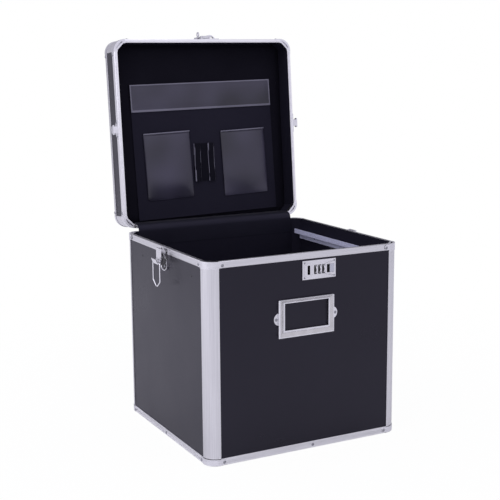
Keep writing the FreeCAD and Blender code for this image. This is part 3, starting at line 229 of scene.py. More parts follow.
def laminate(name, sheen=LAMINATE_SHEEN):
    """Satin black whose reflection has a tint."""
    made, tree, shader = new_material(name)
    spot = place_coords(tree)
    grain = noise(tree, spot, GRAIN_SCALE, 2.0)
    cloud = noise(tree, spot, HANDLING_SCALE, 4.0)
    tone = two_tone(tree, remap(tree, cloud, 0, 1), LAMINATE_DARK, LAMINATE_LIGHT)
    tree.links.new(tone, shader.inputs["Base Color"])
    tree.links.new(remap(tree, cloud, *LAMINATE_ROUGH), shader.inputs["Roughness"])
    shader.inputs["Specular Tint"].default_value = (*sheen, 1)
    shader.inputs["Specular IOR Level"].default_value = LAMINATE_GLOSS
    bumped(tree, shader, grain, GRAIN_DEPTH, 0.3)
    return made


# %% [markdown]
# The edging is drawn aluminium. Drawing leaves fine lines along each bar, so the noise is stretched
# hard along the bar and is fine across it. Modelled lines would take millions of faces, and bump is
# enough for marks that are finer than a hair. The versions differ in the direction of the bars, and the
# base rails and the lid's rims are brighter copies, which is painted light for the light they catch.

# %% Drawn aluminium
ALUMINIUM_DARK = (0.60, 0.595, 0.61)
ALUMINIUM_LIGHT = (0.73, 0.725, 0.74)
LINE_FINE = 900.0
LINE_LONG = 6.0
LINE_DEPTH = 0.00002
METAL_CLOUD = 14.0


def drawn_metal(name, along, dark=ALUMINIUM_DARK, light=ALUMINIUM_LIGHT, rough=(0.28, 0.42)):
    """Metal with lines along the axes whose letters are in along."""
    made, tree, shader = new_material(name)
    shader.inputs["Metallic"].default_value = 1.0
    stretch = [LINE_LONG if axis in along else LINE_FINE for axis in "xyz"]
    lines = noise(tree, place_coords(tree, stretch), 1.0, 4.0, 0.65)
    cloud = noise(tree, place_coords(tree), METAL_CLOUD)
    tree.links.new(two_tone(tree, remap(tree, lines, 0, 1), dark, light), shader.inputs["Base Color"])
    tree.links.new(remap(tree, cloud, *rough), shader.inputs["Roughness"])
    bumped(tree, shader, lines, LINE_DEPTH, 0.35)
    return made


# %% [markdown]
# Caps, latches and the lock plate are pressed steel with bright nickel plate. It is smoother than the
# edging, with faint clouds in its gloss and very small dents that break up the reflections. Without
# them the plate would look drawn, because no pressed sheet is perfectly even.

# %% Bright nickel plate
NICKEL = (0.78, 0.775, 0.80)
PLATE_SHADE = 0.86
PLATE_CLOUD = 25.0
DENT_DEPTH = 0.00008


def plated(name, colour=NICKEL, rough=(0.12, 0.24), dents=60.0):
    """Smooth plate with faint clouds in its colour and gloss."""
    made, tree, shader = new_material(name)
    shader.inputs["Metallic"].default_value = 1.0
    spot = place_coords(tree)
    cloud = noise(tree, spot, dents)
    tone = [value * PLATE_SHADE for value in colour]
    tree.links.new(two_tone(tree, remap(tree, cloud, 0, 1), tone, colour), shader.inputs["Base Color"])
    tree.links.new(remap(tree, noise(tree, spot, PLATE_CLOUD), *rough), shader.inputs["Roughness"])
    bumped(tree, shader, cloud, DENT_DEPTH, 0.25)
    return made


# %% [markdown]
# Small plain things: the painted screws, the file rails, the grip and the figures. They differ in
# colour and gloss only, so one function with these two values does for all of them. A very fine grain
# and a slow cloud keep them from looking flat.

# %% Paint and plastic
PAINT_SHADE = 0.75
PAINT_MOTTLE = 300.0
PAINT_CLOUD = 80.0
PAINT_GRAIN = 1500.0
PAINT_DEPTH = 0.00003


def paint(name, colour, rough):
    """A plain finish with a very fine grain."""
    made, tree, shader = new_material(name)
    spot = place_coords(tree)
    mottle = remap(tree, noise(tree, spot, PAINT_MOTTLE), 0, 1)
    tone = two_tone(tree, mottle, [value * PAINT_SHADE for value in colour], colour)
    tree.links.new(tone, shader.inputs["Base Color"])
    cloud = noise(tree, spot, PAINT_CLOUD)
    tree.links.new(remap(tree, cloud, rough, rough + 0.1), shader.inputs["Roughness"])
    bumped(tree, shader, noise(tree, spot, PAINT_GRAIN), PAINT_DEPTH, 0.4)
    return made


# %% [markdown]
# The lining, padding and gusset are black cloths. Their threads could be modelled one by one, but from
# here only their grain and a soft glow show. Short fibres scatter light at grazing angles, which the
# sheen gives, and a noise about three threads wide stands for the weave in colour and bump.

# %% Black cloths
CLOTH_SHEEN = (0.72, 0.68, 1.0)
CLOTH_SHADE = 0.6
CLOTH_CLOUD = 12.0


def cloth(name, colour, thread, sheen, rough, gloss):
    """A woven cloth whose threads are a given distance apart."""
    made, tree, shader = new_material(name)
    shader.inputs["Sheen Weight"].default_value = sheen
    shader.inputs["Sheen Roughness"].default_value = 0.4
    shader.inputs["Specular Tint"].default_value = (*CLOTH_SHEEN, 1)
    shader.inputs["Specular IOR Level"].default_value = gloss
    spot = place_coords(tree)
    fibres = noise(tree, spot, 1 / (3 * thread), 5.0, 0.7)
    cloud = noise(tree, spot, CLOTH_CLOUD)
    tone = two_tone(tree, remap(tree, fibres, 0, 1), [value * CLOTH_SHADE for value in colour], colour)
    tree.links.new(tone, shader.inputs["Base Color"])
    tree.links.new(remap(tree, cloud, rough - 0.08, rough + 0.05), shader.inputs["Roughness"])
    bumped(tree, shader, fibres, thread, 0.5)
    return made


# %% [markdown]
# The pockets are soft vinyl, which shows a smooth low gloss with a fine leather print. The print is a
# fine noise in the bump. A slow cloud mixes two dark tones, as where vinyl is pulled or slack, and the
# larger folds are in the meshes.

# %% Soft vinyl
VINYL_DARK = (0.013, 0.012, 0.022)
VINYL_LIGHT = (0.047, 0.043, 0.072)
VINYL_CLOUD = 10.0
PRINT_SCALE = 700.0
PRINT_DEPTH = 0.00006


def vinyl(name, dark=VINYL_DARK, light=VINYL_LIGHT, rough=(0.34, 0.46)):
    """Soft vinyl with a leather print and slow clouds."""
    made, tree, shader = new_material(name)
    spot = place_coords(tree)
    print_height = noise(tree, spot, PRINT_SCALE, 2.0)
    cloud = noise(tree, spot, VINYL_CLOUD, 1.0)
    tree.links.new(two_tone(tree, remap(tree, cloud, 0, 1), dark, light), shader.inputs["Base Color"])
    tree.links.new(remap(tree, cloud, *rough), shader.inputs["Roughness"])
    bumped(tree, shader, print_height, PRINT_DEPTH, 0.5)
    return made


# %% [markdown]
# A number wheel is nickel with a black band at its left. The band is painted shade: the shadow that the
# window's left edge casts on the wheel. Each wheel is one solid, so the band is a colour and not a piece.
# It ends at a place along X, so each wheel has its own material. The same step from 0 to 1 drives the
# colour and the metal.

# %% Number wheels
# Painted shade: the black band stands for the shadow of the window's left edge on the wheel.
SHADE_BAND_SHARE = 0.52
PAINTED_SHADE_BLACK = (0.004, 0.004, 0.005)
SHADE_BAND_BLUR = 0.15 * MM
WHEEL_ROUGH = 0.22


def wheel_plate(number):
    """Nickel right of the painted shade band, and black on it."""
    low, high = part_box(f"lock_dial_{number}")
    edge = low.x + (high.x - low.x) * SHADE_BAND_SHARE
    made, tree, shader = new_material(f"wheel_{number}_plate")
    parts = tree.nodes.new("ShaderNodeSeparateXYZ")
    tree.links.new(place_coords(tree), parts.inputs["Vector"])
    # Painted shade: black left of the edge, where the window's shadow falls, nickel right of it.
    unshaded = remap(tree, parts.outputs["X"], 0, 1, edge - SHADE_BAND_BLUR, edge + SHADE_BAND_BLUR)
    tree.links.new(two_tone(tree, unshaded, PAINTED_SHADE_BLACK, NICKEL), shader.inputs["Base Color"])
    tree.links.new(unshaded, shader.inputs["Metallic"])
    shader.inputs["Roughness"].default_value = WHEEL_ROUGH
    return made


for number in (1, 2, 3):
    nodes[f"lock_dial_{number}"].data.materials.clear()
    nodes[f"lock_dial_{number}"].data.materials.append(wheel_plate(number))
print("plated the number wheels")

# %% [markdown]
# Each finish of this case gets a short name. The same few functions make them all, so that two finishes
# of one kind differ only in their colour, gloss or direction.

# %% Finishes of this case
finishes = {
    "board": laminate("black_laminate"),
    "side_board": laminate("black_laminate_sides", (0.71, 0.66, 1.0)),
    "rails": drawn_metal("aluminium_rails", "xy"),
    "posts": drawn_metal("aluminium_posts", "z"),
    "lid_rails": drawn_metal("aluminium_lid_rails", "xz"),
    "lid_posts": drawn_metal("aluminium_lid_posts", "y"),
    "caps": plated("nickel_caps", rough=(0.20, 0.32)),
    "fittings": plated("nickel_fittings"),
    "rivets": plated("steel_rivets", (0.30, 0.30, 0.32), (0.22, 0.36), 400.0),
    # Painted light: the base rails and the lid's rims are brighter copies of the aluminium.
    "base_rails": drawn_metal("aluminium_base_rails_painted_light", "xy", (0.74, 0.735, 0.75), (0.86, 0.855, 0.87)),
    "lid_rims": drawn_metal("aluminium_lid_rims_painted_light", "xz", (0.78, 0.775, 0.79), (0.90, 0.895, 0.91),
                            (0.30, 0.45)),
    "file_rails": paint("satin_file_rails", (0.58, 0.59, 0.76), 0.3),
    # Painted shade: near black for the latch trays' floors between their rims.
    "tray_shade": plated("latch_tray_painted_shade", (0.018, 0.017, 0.02), (0.3, 0.4)),
    # Painted shade: a darker nickel for the card holder's sloped faces.
    "slope_shade": plated("nickel_slopes_painted_shade", (0.60, 0.59, 0.585), (0.2, 0.3)),
    "button": plated("dark_button", (0.55, 0.56, 0.62), (0.2, 0.3)),
    # Near black: the lock's inner parts and the slider's back behind its button.
    "lock_inside": paint("near_black_steel", (0.004, 0.004, 0.005), 0.6),
    "zinc": plated("zinc_plate", (0.62, 0.62, 0.64), (0.3, 0.42), 120.0),
    "screws": paint("black_paint", (0.02, 0.02, 0.025), 0.35),
    "lining": cloth("lining_cloth", (0.0105, 0.0100, 0.0170), 0.0004, 0.0, 0.85, 0.15),
    "padding": cloth("padding_cloth", (0.0045, 0.0042, 0.007), 0.0004, 0.02, 0.8, 0.12),
    "panel": cloth("organiser_cloth", (0.009, 0.0085, 0.015), 0.0004, 0.02, 0.7, 0.2),
    "gusset": cloth("gusset_cloth", (0.007, 0.007, 0.012), 0.0005, 0.03, 0.5, 0.25),
    "vinyl": vinyl("pocket_vinyl"),
    # Painted highlight: a lighter vinyl tone for the tapes, the hems and the feet of the pen loops.
    "piping_highlight": vinyl("pocket_piping_painted_highlight", (0.10, 0.096, 0.13), (0.15, 0.145, 0.19), (0.25, 0.35)),
    "elastic": cloth("elastic_band", (0.005, 0.005, 0.008), 0.0006, 0.0, 0.8, 0.12),
    "grip": paint("grip_rubber", (0.018, 0.018, 0.021), 0.5),
    "figures": paint("black_figures", (0.008, 0.008, 0.009), 0.4),
}
print("made", len(finishes), "finishes")

# %% [markdown]
# This table says which parts have which finish. A table is easier to read and to change than a long row
# of calls, and counting its names shows whether a part was forgotten. The three number wheels have
# theirs already.

# %% Give the hard parts their finishes
finish_of = {
    "board": ["body_front_panel", "body_back_panel", "body_base_panel",
              "lid_front_panel", "lid_back_panel", "lid_top_panel"],
    "side_board": ["body_left_panel", "body_right_panel", "lid_left_panel", "lid_right_panel"],
    "rails": ["body_rim_rails"],
    "base_rails": ["body_base_rails"],
    "file_rails": ["hanging_rails"],
    "posts": ["body_corner_posts"],
    "lid_rails": ["lid_top_rails"],
    "lid_rims": ["lid_rim_rails"],
    "lid_posts": ["lid_corner_posts"],
    "caps": ["body_rim_corners", "body_base_corners", "lid_rim_corners", "lid_top_corners"],
    "fittings": ["lock_plate", "card_holder", "latch_base_left", "latch_base_right",
                 "latch_lever_left", "latch_lever_right", "latch_bail_left", "latch_bail_right", "latch_pins",
                 "lid_catches", "hasp_base", "hasp_pin", "hasp_clasp", "handle_brackets"],
    "rivets": ["body_corner_rivets", "body_fitting_rivets", "lid_corner_rivets", "lid_fitting_rivets"],
    "zinc": ["hinge_body_leaves", "hinge_lid_leaves", "hinge_pins", "lock_axle"],
    "button": ["lock_slider"],
    "lock_inside": ["lock_case", "lock_bolt", "lock_spring"],
    "screws": ["hanging_rail_screws"],
    "lining": ["body_lining", "lid_lining"],
    "padding": ["lid_padding"],
    "vinyl": ["wide_pocket", "cd_pocket_left", "cd_pocket_right"],
    "elastic": ["pen_loops"],
    "gusset": ["hinge_gusset"],
    "grip": ["carry_handle"],
}


def dress(obj, finish):
    """Gives an object one finish in place of all that it had."""
    obj.data.materials.clear()
    obj.data.materials.append(finishes[finish])


for finish, names in finish_of.items():
    for name in names:
        dress(nodes[name], finish)
print("finished", sum(len(names) for names in finish_of.values()), "of", len(nodes), "parts")

# %% [markdown]
# A few faces differ from the rest of their part. The latch trays are near black between their raised
# rims, as painted shade. The caps round the mouth get the lining's dark cloth on their inner faces, as
# painted shade, and the card holder's slopes get a darker nickel, also painted shade. The slider is near
# black behind its button. A second material on chosen faces leaves the mesh as it is. A face is picked
# by where its middle lies and where it looks.

# %% Second finishes
TRAY_FLOOR = 1.2 * MM
TRAY_TOP = rim_height - 4 * MM
PLATE_BACK = 1 * MM - half_depth
CLOSE = 0.2 * MM
FLAT_LOOK = 0.9
INWARD_LOOK = 0.3
SLOPE_LOOK = (0.6, 0.998)


def paint_faces(obj, finish, test):
    """Gives the faces whose middle and direction pass a test a finish of their own."""
    obj.data.materials.append(finishes[finish])
    slot = len(obj.data.materials) - 1
    for face in obj.data.polygons:
        if test(face.center, face.normal):
            face.material_index = slot


def tray_floor(middle, look):
    """The outer face of a latch base between its rims."""
    on_floor = abs(abs(middle.x) - half_width - TRAY_FLOOR) < CLOSE
    return on_floor and abs(look.x) > FLAT_LOOK and middle.z < TRAY_TOP


def faces_inward(middle, look):
    """A face of a rim cap that looks towards the middle of the case."""
    return -look.x * math.copysign(1, middle.x) - look.y * math.copysign(1, middle.y) > INWARD_LOOK


def on_slope(middle, look):
    """A face of the card holder that is neither flat nor upright to the front."""
    return SLOPE_LOOK[0] < abs(look.y) < SLOPE_LOOK[1]


def behind_plate(middle, look):
    """A face of the slider that lies behind the lock's plate."""
    return middle.y > PLATE_BACK


for side in ("left", "right"):
    # Painted shade on the floor of each latch tray.
    paint_faces(nodes[f"latch_base_{side}"], "tray_shade", tray_floor)
# Painted shade: the inner faces of the caps round the mouth get the lining's dark cloth.
paint_faces(nodes["body_rim_corners"], "lining", faces_inward)
# Painted shade on the card holder's slopes.
paint_faces(nodes["card_holder"], "slope_shade", on_slope)
paint_faces(nodes["lock_slider"], "lock_inside", behind_plate)
for name in ("latch_base_left", "body_rim_corners", "card_holder", "lock_slider"):
    print(name, "has", sum(face.material_index > 0 for face in nodes[name].data.polygons), "painted faces")

# %% [markdown]
# Real metal edges are never perfectly sharp, and their small rounding catches the light. Weld joins the
# triangles that the CAD mesh keeps apart, and Bevel then rounds every edge that turns by more than a
# set angle. Both stay modifiers, so that the model's own mesh doesn't change.

# %% Rounded edges
EDGE_ROUND = 0.2 * MM
EDGE_ANGLE = math.radians(38)
SAME_POINT = 0.01 * MM
rounded_parts = ["body_rim_rails", "body_base_rails", "lid_rim_rails", "lid_top_rails", "lock_plate",
                 "latch_lever_left", "latch_lever_right", "latch_base_left", "latch_base_right",
                 "card_holder", "handle_brackets"]


def round_edges(obj):
    """Joins a mesh's doubled points and rounds its edges, without a change to the mesh itself."""
    weld = obj.modifiers.new("weld", "WELD")
    weld.merge_threshold = SAME_POINT
    bevel = obj.modifiers.new("rounding", "BEVEL")
    bevel.width = EDGE_ROUND
    bevel.segments = 2
    bevel.limit_method = "ANGLE"
    bevel.angle_limit = EDGE_ANGLE
    bevel.use_clamp_overlap = True
    bevel.harden_normals = True


for name in rounded_parts:
    round_edges(nodes[name])
print("rounded the edges of", len(rounded_parts), "parts")

# %% [markdown]
# The soft parts are modelled with edit-mode tools, as by hand. Most of them start as a box or a flat
# grid at its size and place, since a primitive that fits needs fewer steps than one that is scaled
# later. Everything is deselected first, because an operator acts on all that is selected.

# %% Helpers for starting a mesh
def deselect():
    """Leaves edit mode, and leaves nothing selected."""
    if bpy.context.object and bpy.context.object.mode != "OBJECT":
        bpy.ops.object.mode_set(mode="OBJECT")
    bpy.ops.object.select_all(action="DESELECT")


def make_active(obj):
    """Selects one object and makes it the one that is worked on."""
    deselect()
    obj.select_set(True)
    bpy.context.view_layer.objects.active = obj


def new_block(name, low, high):
    """A box between two corners, ready to be shaped."""
    deselect()
    bpy.ops.mesh.primitive_cube_add(size=1, location=(Vector(low) + Vector(high)) / 2)
    obj = bpy.context.object
    obj.name = name
    obj.scale = Vector(high) - Vector(low)
    bpy.ops.object.transform_apply(location=True, rotation=True, scale=True)
    return obj


def new_sheet(name, low, high, across, along):
    """A flat grid at low's height, between two corners, with that many cells each way."""
    deselect()
    middle = (Vector(low) + Vector(high)) / 2
    bpy.ops.mesh.primitive_grid_add(x_subdivisions=across, y_subdivisions=along, size=1,
                                    location=(middle.x, middle.y, low[2]))
    obj = bpy.context.object
    obj.name = name
    obj.scale = (high[0] - low[0], high[1] - low[1], 1)
    bpy.ops.object.transform_apply(location=True, rotation=True, scale=True)
    return obj


# %% [markdown]
# Faces and edges are picked by where they lie and where they look, as a script can't click on them.
# What is picked stays selected in edit mode, where a cut or an extrusion works on it.

# %% Helpers for picking and cutting
def pick_faces(obj, test):
    """Enters edit mode with the faces selected whose middle and direction pass a test."""
    make_active(obj)
    bpy.ops.object.mode_set(mode="EDIT")
    bpy.ops.mesh.select_mode(type="FACE")
    bpy.ops.mesh.select_all(action="DESELECT")
    bpy.ops.object.mode_set(mode="OBJECT")
    for face in obj.data.polygons:
        face.select = bool(test(face.center, face.normal))
    bpy.ops.object.mode_set(mode="EDIT")


def pick_edges(obj, test):
    """Enters edit mode with the edges selected whose two ends pass a test."""
    make_active(obj)
    bpy.ops.object.mode_set(mode="EDIT")
    bpy.ops.mesh.select_mode(type="EDGE")
    bpy.ops.mesh.select_all(action="DESELECT")
    bpy.ops.object.mode_set(mode="OBJECT")
    for edge in obj.data.edges:
        edge.select = bool(test(*[obj.data.vertices[i].co for i in edge.vertices]))
    bpy.ops.object.mode_set(mode="EDIT")


def cut_plane(obj, place, normal):
    """Cuts the whole mesh along a plane, and keeps both sides."""
    make_active(obj)
    bpy.ops.object.mode_set(mode="EDIT")
    bpy.ops.mesh.select_all(action="SELECT")
    bpy.ops.mesh.bisect(plane_co=place, plane_no=normal)
    bpy.ops.object.mode_set(mode="OBJECT")


def extrude_by(step):
    """Extrudes what is selected in edit mode by a step."""
    bpy.ops.mesh.extrude_region_move(TRANSFORM_OT_translate={"value": step})
    bpy.ops.object.mode_set(mode="OBJECT")


# %% [markdown]
# A rule moves each point of a mesh. It gives the same form in each run, as sculpting by hand would not.
# Modifiers are applied at once, so that the next step finds the finished mesh, and smooth shading stops
# at an angle, so that real creases stay sharp.

# %% Helpers for shaping
TAPE_ROUND = 0.35 * MM


def move_points(obj, rule):
    """Moves each point of a mesh to where a rule puts it."""
    for vertex in obj.data.vertices:
        vertex.co = rule(vertex.co)
    obj.data.update()


def face_outwards(obj):
    """Turns all faces of a closed mesh outwards."""
    make_active(obj)
    bpy.ops.object.mode_set(mode="EDIT")
    bpy.ops.mesh.select_all(action="SELECT")
    bpy.ops.mesh.normals_make_consistent(inside=False)
    bpy.ops.object.mode_set(mode="OBJECT")


def apply_modifier(obj, kind, **settings):
    """Adds a modifier with its settings and applies it at once."""
    make_active(obj)
    modifier = obj.modifiers.new(kind.lower(), kind)
    for name, value in settings.items():
        setattr(modifier, name, value)
    bpy.ops.object.modifier_apply(modifier=modifier.name)


def smooth(obj, angle):
    """Shades smoothly over edges that turn by less than an angle in degrees."""
    make_active(obj)
    bpy.ops.object.shade_smooth_by_angle(angle=math.radians(angle))


def soften(obj):
    """Rounds the sharp edges of a taped or sewn piece."""
    apply_modifier(obj, "BEVEL", width=TAPE_ROUND, segments=2, limit_method="ANGLE",
                   angle_limit=math.radians(50))


# %% [markdown]
# Some pieces are made of several meshes, which are joined into one object. A finished piece is carried
# into the open lid by the matrix from above. Its place goes into the mesh and not into the object, so
# that the object stays at the origin, and it rides on the lid from then on.

# %% Helpers for placing
def joined(name, parts):
    """One object from several."""
    deselect()
    for part in parts:
        part.select_set(True)
    bpy.context.view_layer.objects.active = parts[0]
    if len(parts) > 1:
        bpy.ops.object.join()
    obj = bpy.context.object
    obj.name = name
    return obj


def into_lid(obj, turn=Matrix.Identity(4)):
    """Carries a mesh from the lid's own place, turned to a slant, into the open lid, and fixes it there."""
    obj.data.transform(lid_place @ turn)
    obj.data.update()
    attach(obj, "lid")


# %% [markdown]
# Soft things have no hard steps. A smooth step rounds a form off towards its edge, and the sum of a few
# waves stands for the unevenness of cloth that is glued by hand. A noise could do it too, but waves of
# a known length are easier to fit to a piece's size.

# %% Helpers for soft forms
def fade(value, start, end):
    """Rises smoothly from 0 at start to 1 at end."""
    share = min(max((value - start) / (end - start), 0.0), 1.0)
    return share * share * (3 - 2 * share)


def unevenness(x, y, size):
    """A gentle unevenness of hand-glued cloth, between -1 and 1, from a few waves."""
    a, b = x / size, y / size
    first = math.sin(1.7 * a + 0.6 * b)
    second = math.sin(0.9 * a - 1.3 * b + 2.0)
    third = math.sin(2.3 * b + 0.5 * a + 4.0)
    return (first + second + third) / 3


# %% [markdown]
# The padding is a foam board in black cloth, pressed into the lid. Foam rounds off towards its edges. A
# cloth simulation could puff it up, but the form is so low that a rule for its height is enough. A grid
# gives enough points to crown the face, and the back is extruded from it, so that the form is closed.

# %% Padding
PAD_EDGE = 14 * MM
PAD_DROP = 3.2 * MM
PAD_FACE_DROP = 0.6 * MM
PAD_CORNER = 11.4 * MM
PAD_GRID = (72, 68)
PAD_WAVE = 0.3 * MM
PAD_WAVE_SIZE = 0.03


def cut_corner(point, low, high, corner):
    """Pulls a point in to a rectangle's cut corner."""
    over_x = max(low.x + corner - point.x, point.x - high.x + corner, 0)
    over_y = max(low.y + corner - point.y, point.y - high.y + corner, 0)
    past = over_x + over_y - corner
    if past <= 0:
        return point.x, point.y
    side_x = 1 if point.x > (low.x + high.x) / 2 else -1
    side_y = 1 if point.y > (low.y + high.y) / 2 else -1
    both = over_x + over_y
    return point.x - side_x * past * over_x / both, point.y - side_y * past * over_y / both


def model_padding():
    """A foam board with cut corners, crowned and rounded off towards its edges."""
    face_z = pad_high.z - PAD_FACE_DROP
    low = Vector((pad_low.x, pad_low.y, face_z))
    high = Vector((pad_high.x, pad_high.y, face_z))
    pad = new_sheet("padding", low, high, *PAD_GRID)
    pick_faces(pad, lambda middle, direction: True)
    extrude_by((0, 0, pad_low.z - face_z))

    def crowned(point):
        """Cuts the corners, and rounds the face off towards its edges."""
        x, y = cut_corner(point, pad_low, pad_high, PAD_CORNER)
        edge = min(x - pad_low.x, pad_high.x - x, y - pad_low.y, pad_high.y - y)
        z = point.z
        if z > (pad_low.z + pad_high.z) / 2:
            z += PAD_WAVE * unevenness(x, y, PAD_WAVE_SIZE) * fade(edge, 0, PAD_EDGE)
            z -= PAD_DROP * (1 - fade(edge, -PAD_EDGE, PAD_EDGE)) * 2 * (1 - fade(edge, 0, PAD_EDGE))
        return Vector((x, y, z))

    move_points(pad, crowned)
    face_outwards(pad)
    smooth(pad, 60)
    return pad


padding = model_padding()
into_lid(padding)
dress(padding, "padding")
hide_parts("lid_padding")
print("padding has", len(padding.data.polygons), "faces")

# %% [markdown]
# The wide pocket is a flat vinyl pocket with a taped edge. A box with a bevel could stand for it, but a
# grid can bulge. The grid is cut along the tape's inner line, and the tape's faces are then extruded a
# little, so that no gap can open between tape and vinyl. The tape gets a lighter vinyl tone, which is
# a painted highlight along its raised edge.

# %% Wide pocket
WIDE_SLANT = 1.2
WIDE_HEIGHT = 50 * MM
PANEL_THICK = 0.7 * MM
TAPE = 2.4 * MM
LOW_TAPE = 3.8 * MM
TAPE_RISE = 0.45 * MM
POCKET_BULGE = 0.9 * MM
BULGE_REACH = 12 * MM
SWAY_REACH = 8 * MM
SWAY = 0.25
POCKET_GRID = (96, 18)
SAME_LEVEL = 0.1 * MM

wide_low, wide_high, wide_turn = level_box("wide_pocket", WIDE_SLANT)


def model_wide_pocket():
    """The pocket itself, bulged a little inside its tape."""
    low = Vector((wide_low.x, wide_high.y - WIDE_HEIGHT, wide_low.z + PANEL_THICK / 2))
    high = wide_high
    face_z = high.z - POCKET_BULGE - TAPE_RISE
    pocket = new_sheet("wide_pocket_cloth", (low.x, low.y, face_z), (high.x, high.y, face_z), *POCKET_GRID)
    for place, normal in (((low.x + TAPE, 0, 0), (1, 0, 0)), ((high.x - TAPE, 0, 0), (1, 0, 0)),
                          ((0, low.y + LOW_TAPE, 0), (0, 1, 0)), ((0, high.y - TAPE, 0), (0, 1, 0))):
        cut_plane(pocket, place, normal)
    pick_faces(pocket, lambda middle, direction: True)
    extrude_by((0, 0, low.z - face_z))
    face_outwards(pocket)

    def on_tape(middle, direction):
        """A face that looks forward from the tape along the pocket's edge."""
        inside = min(middle.x - low.x, high.x - middle.x, high.y - middle.y) - TAPE
        return direction.z > 0.5 and min(inside, middle.y - low.y - LOW_TAPE) < 0

    pick_faces(pocket, on_tape)
    extrude_by((0, 0, TAPE_RISE))
    dress(pocket, "vinyl")
    # Painted highlight: the tape's front faces get the lighter piping tone.
    paint_faces(pocket, "piping_highlight", on_tape)
    middle_y = (low.y + high.y) / 2

    def bulged(point):
        """Lifts the pocket's front inside its tape, a little unevenly."""
        edge = min(point.x - low.x, high.x - point.x, point.y - low.y, high.y - point.y)
        droop = 1 - 0.25 * abs(point.y - middle_y) / (high.y - middle_y)
        lift = fade(edge, TAPE, TAPE + BULGE_REACH) * droop
        sway = SWAY * unevenness(point.x, point.y, 0.022) * fade(edge, TAPE, TAPE + SWAY_REACH)
        if point.z > face_z - SAME_LEVEL:
            return Vector((point.x, point.y, point.z + POCKET_BULGE * max(lift + sway, 0)))
        return point

    move_points(pocket, bulged)
    soften(pocket)
    smooth(pocket, 50)
    return pocket


wide_pocket = model_wide_pocket()
print("wide pocket has", len(wide_pocket.data.polygons), "faces")

# %% [markdown]
# The wide pocket is sewn on a cloth panel that reaches down behind the other pockets. The panel is a
# second grid with a gentle unevenness, so that it doesn't look like a board. Both become one object
# with three finishes, because they are one sewn piece.

# %% Panel behind the pockets
PANEL_GRID = (60, 48)
PANEL_WAVE = 0.2 * PANEL_THICK
PANEL_WAVE_SIZE = 0.02
PANEL_HEM = 6 * MM


def model_panel():
    """The cloth panel behind the pockets, a little uneven."""
    face_z = wide_low.z + 0.8 * PANEL_THICK
    low = (wide_low.x, wide_low.y, face_z)
    high = (wide_high.x, wide_high.y, face_z)
    panel = new_sheet("organiser_panel", low, high, *PANEL_GRID)
    pick_faces(panel, lambda middle, direction: True)
    extrude_by((0, 0, wide_low.z - face_z))
    face_outwards(panel)

    def uneven(point):
        """Adds gentle waves to the front, none at its edge."""
        if point.z < face_z - SAME_LEVEL:
            return point
        edge = min(point.x - wide_low.x, wide_high.x - point.x, point.y - wide_low.y, wide_high.y - point.y)
        wave = unevenness(point.x, point.y, PANEL_WAVE_SIZE) * fade(edge, 0, PANEL_HEM)
        return point + Vector((0, 0, PANEL_WAVE * wave))

    move_points(panel, uneven)
    smooth(panel, 50)
    dress(panel, "panel")
    return panel


organiser = joined("wide_pocket_cloth", [wide_pocket, model_panel()])
into_lid(organiser, wide_turn)
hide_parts("wide_pocket")
print("wide pocket's panel measures", [round(v / MM, 1) for v in wide_high - wide_low], "mm")

# %% [markdown]
# Each disc pocket is a puffed vinyl bag. Its swelling could be drawn by a rule alone, but a cloth
# simulation with a little pressure gives the uneven puff of real vinyl. It is held where the bag is
# sewn, and each point's way is limited, so that the bag stays within the case.

# %% Swell a pocket
PUFF_FRAMES = 20
PUFF_PRESSURE = 4.0
CLOTH_STEPS = 6
VINYL_STRETCH = 40
VINYL_SHEAR = 10
VINYL_BEND = 1.5


def puff_up(obj, cap, sewn):
    """Swells a closed mesh with Blender's cloth, held where it is sewn, and keeps every point within cap."""
    make_active(obj)
    seam = obj.vertex_groups.new(name="seam")
    seam.add([vertex.index for vertex in obj.data.vertices if sewn(vertex.co)], 1.0, "ADD")
    before = [vertex.co.copy() for vertex in obj.data.vertices]
    cloth_modifier = obj.modifiers.new("cloth", "CLOTH")
    settings = cloth_modifier.settings
    settings.use_pressure = True
    settings.uniform_pressure_force = PUFF_PRESSURE
    settings.quality = CLOTH_STEPS
    settings.tension_stiffness = VINYL_STRETCH
    settings.compression_stiffness = VINYL_STRETCH
    settings.shear_stiffness = VINYL_SHEAR
    settings.bending_stiffness = VINYL_BEND
    settings.effector_weights.gravity = 0
    settings.vertex_group_mass = seam.name
    scene = bpy.context.scene
    cloth_modifier.point_cache.frame_start = 1
    cloth_modifier.point_cache.frame_end = PUFF_FRAMES
    for frame_number in range(1, PUFF_FRAMES + 1):
        scene.frame_set(frame_number)
    bpy.ops.object.modifier_apply(modifier=cloth_modifier.name)
    scene.frame_set(1)
    for vertex, start in zip(obj.data.vertices, before):
        step = vertex.co - start
        if step.length > cap:
            vertex.co = start + step * (cap / step.length)
    obj.data.update()


# %% [markdown]
# A bag starts as a remeshed block, because the cloth needs small faces of one size. After the swelling,
# a rule crowns the front, brings the rim down to the padding and keeps the bag inside the block that
# the case allows for it. The pressure alone would leave it thickest at its rim.

# %% Form of a disc pocket
VOXEL = 3.5 * MM
START_THICK = 5.5 * MM
SEAM = 5 * MM
PUFF_CAP = 7 * MM
BAG_ROUND = 1.8 * MM
BAG_RISE = 6.4
CREASE = 0.5 * MM
CREASE_SIZE = 0.014


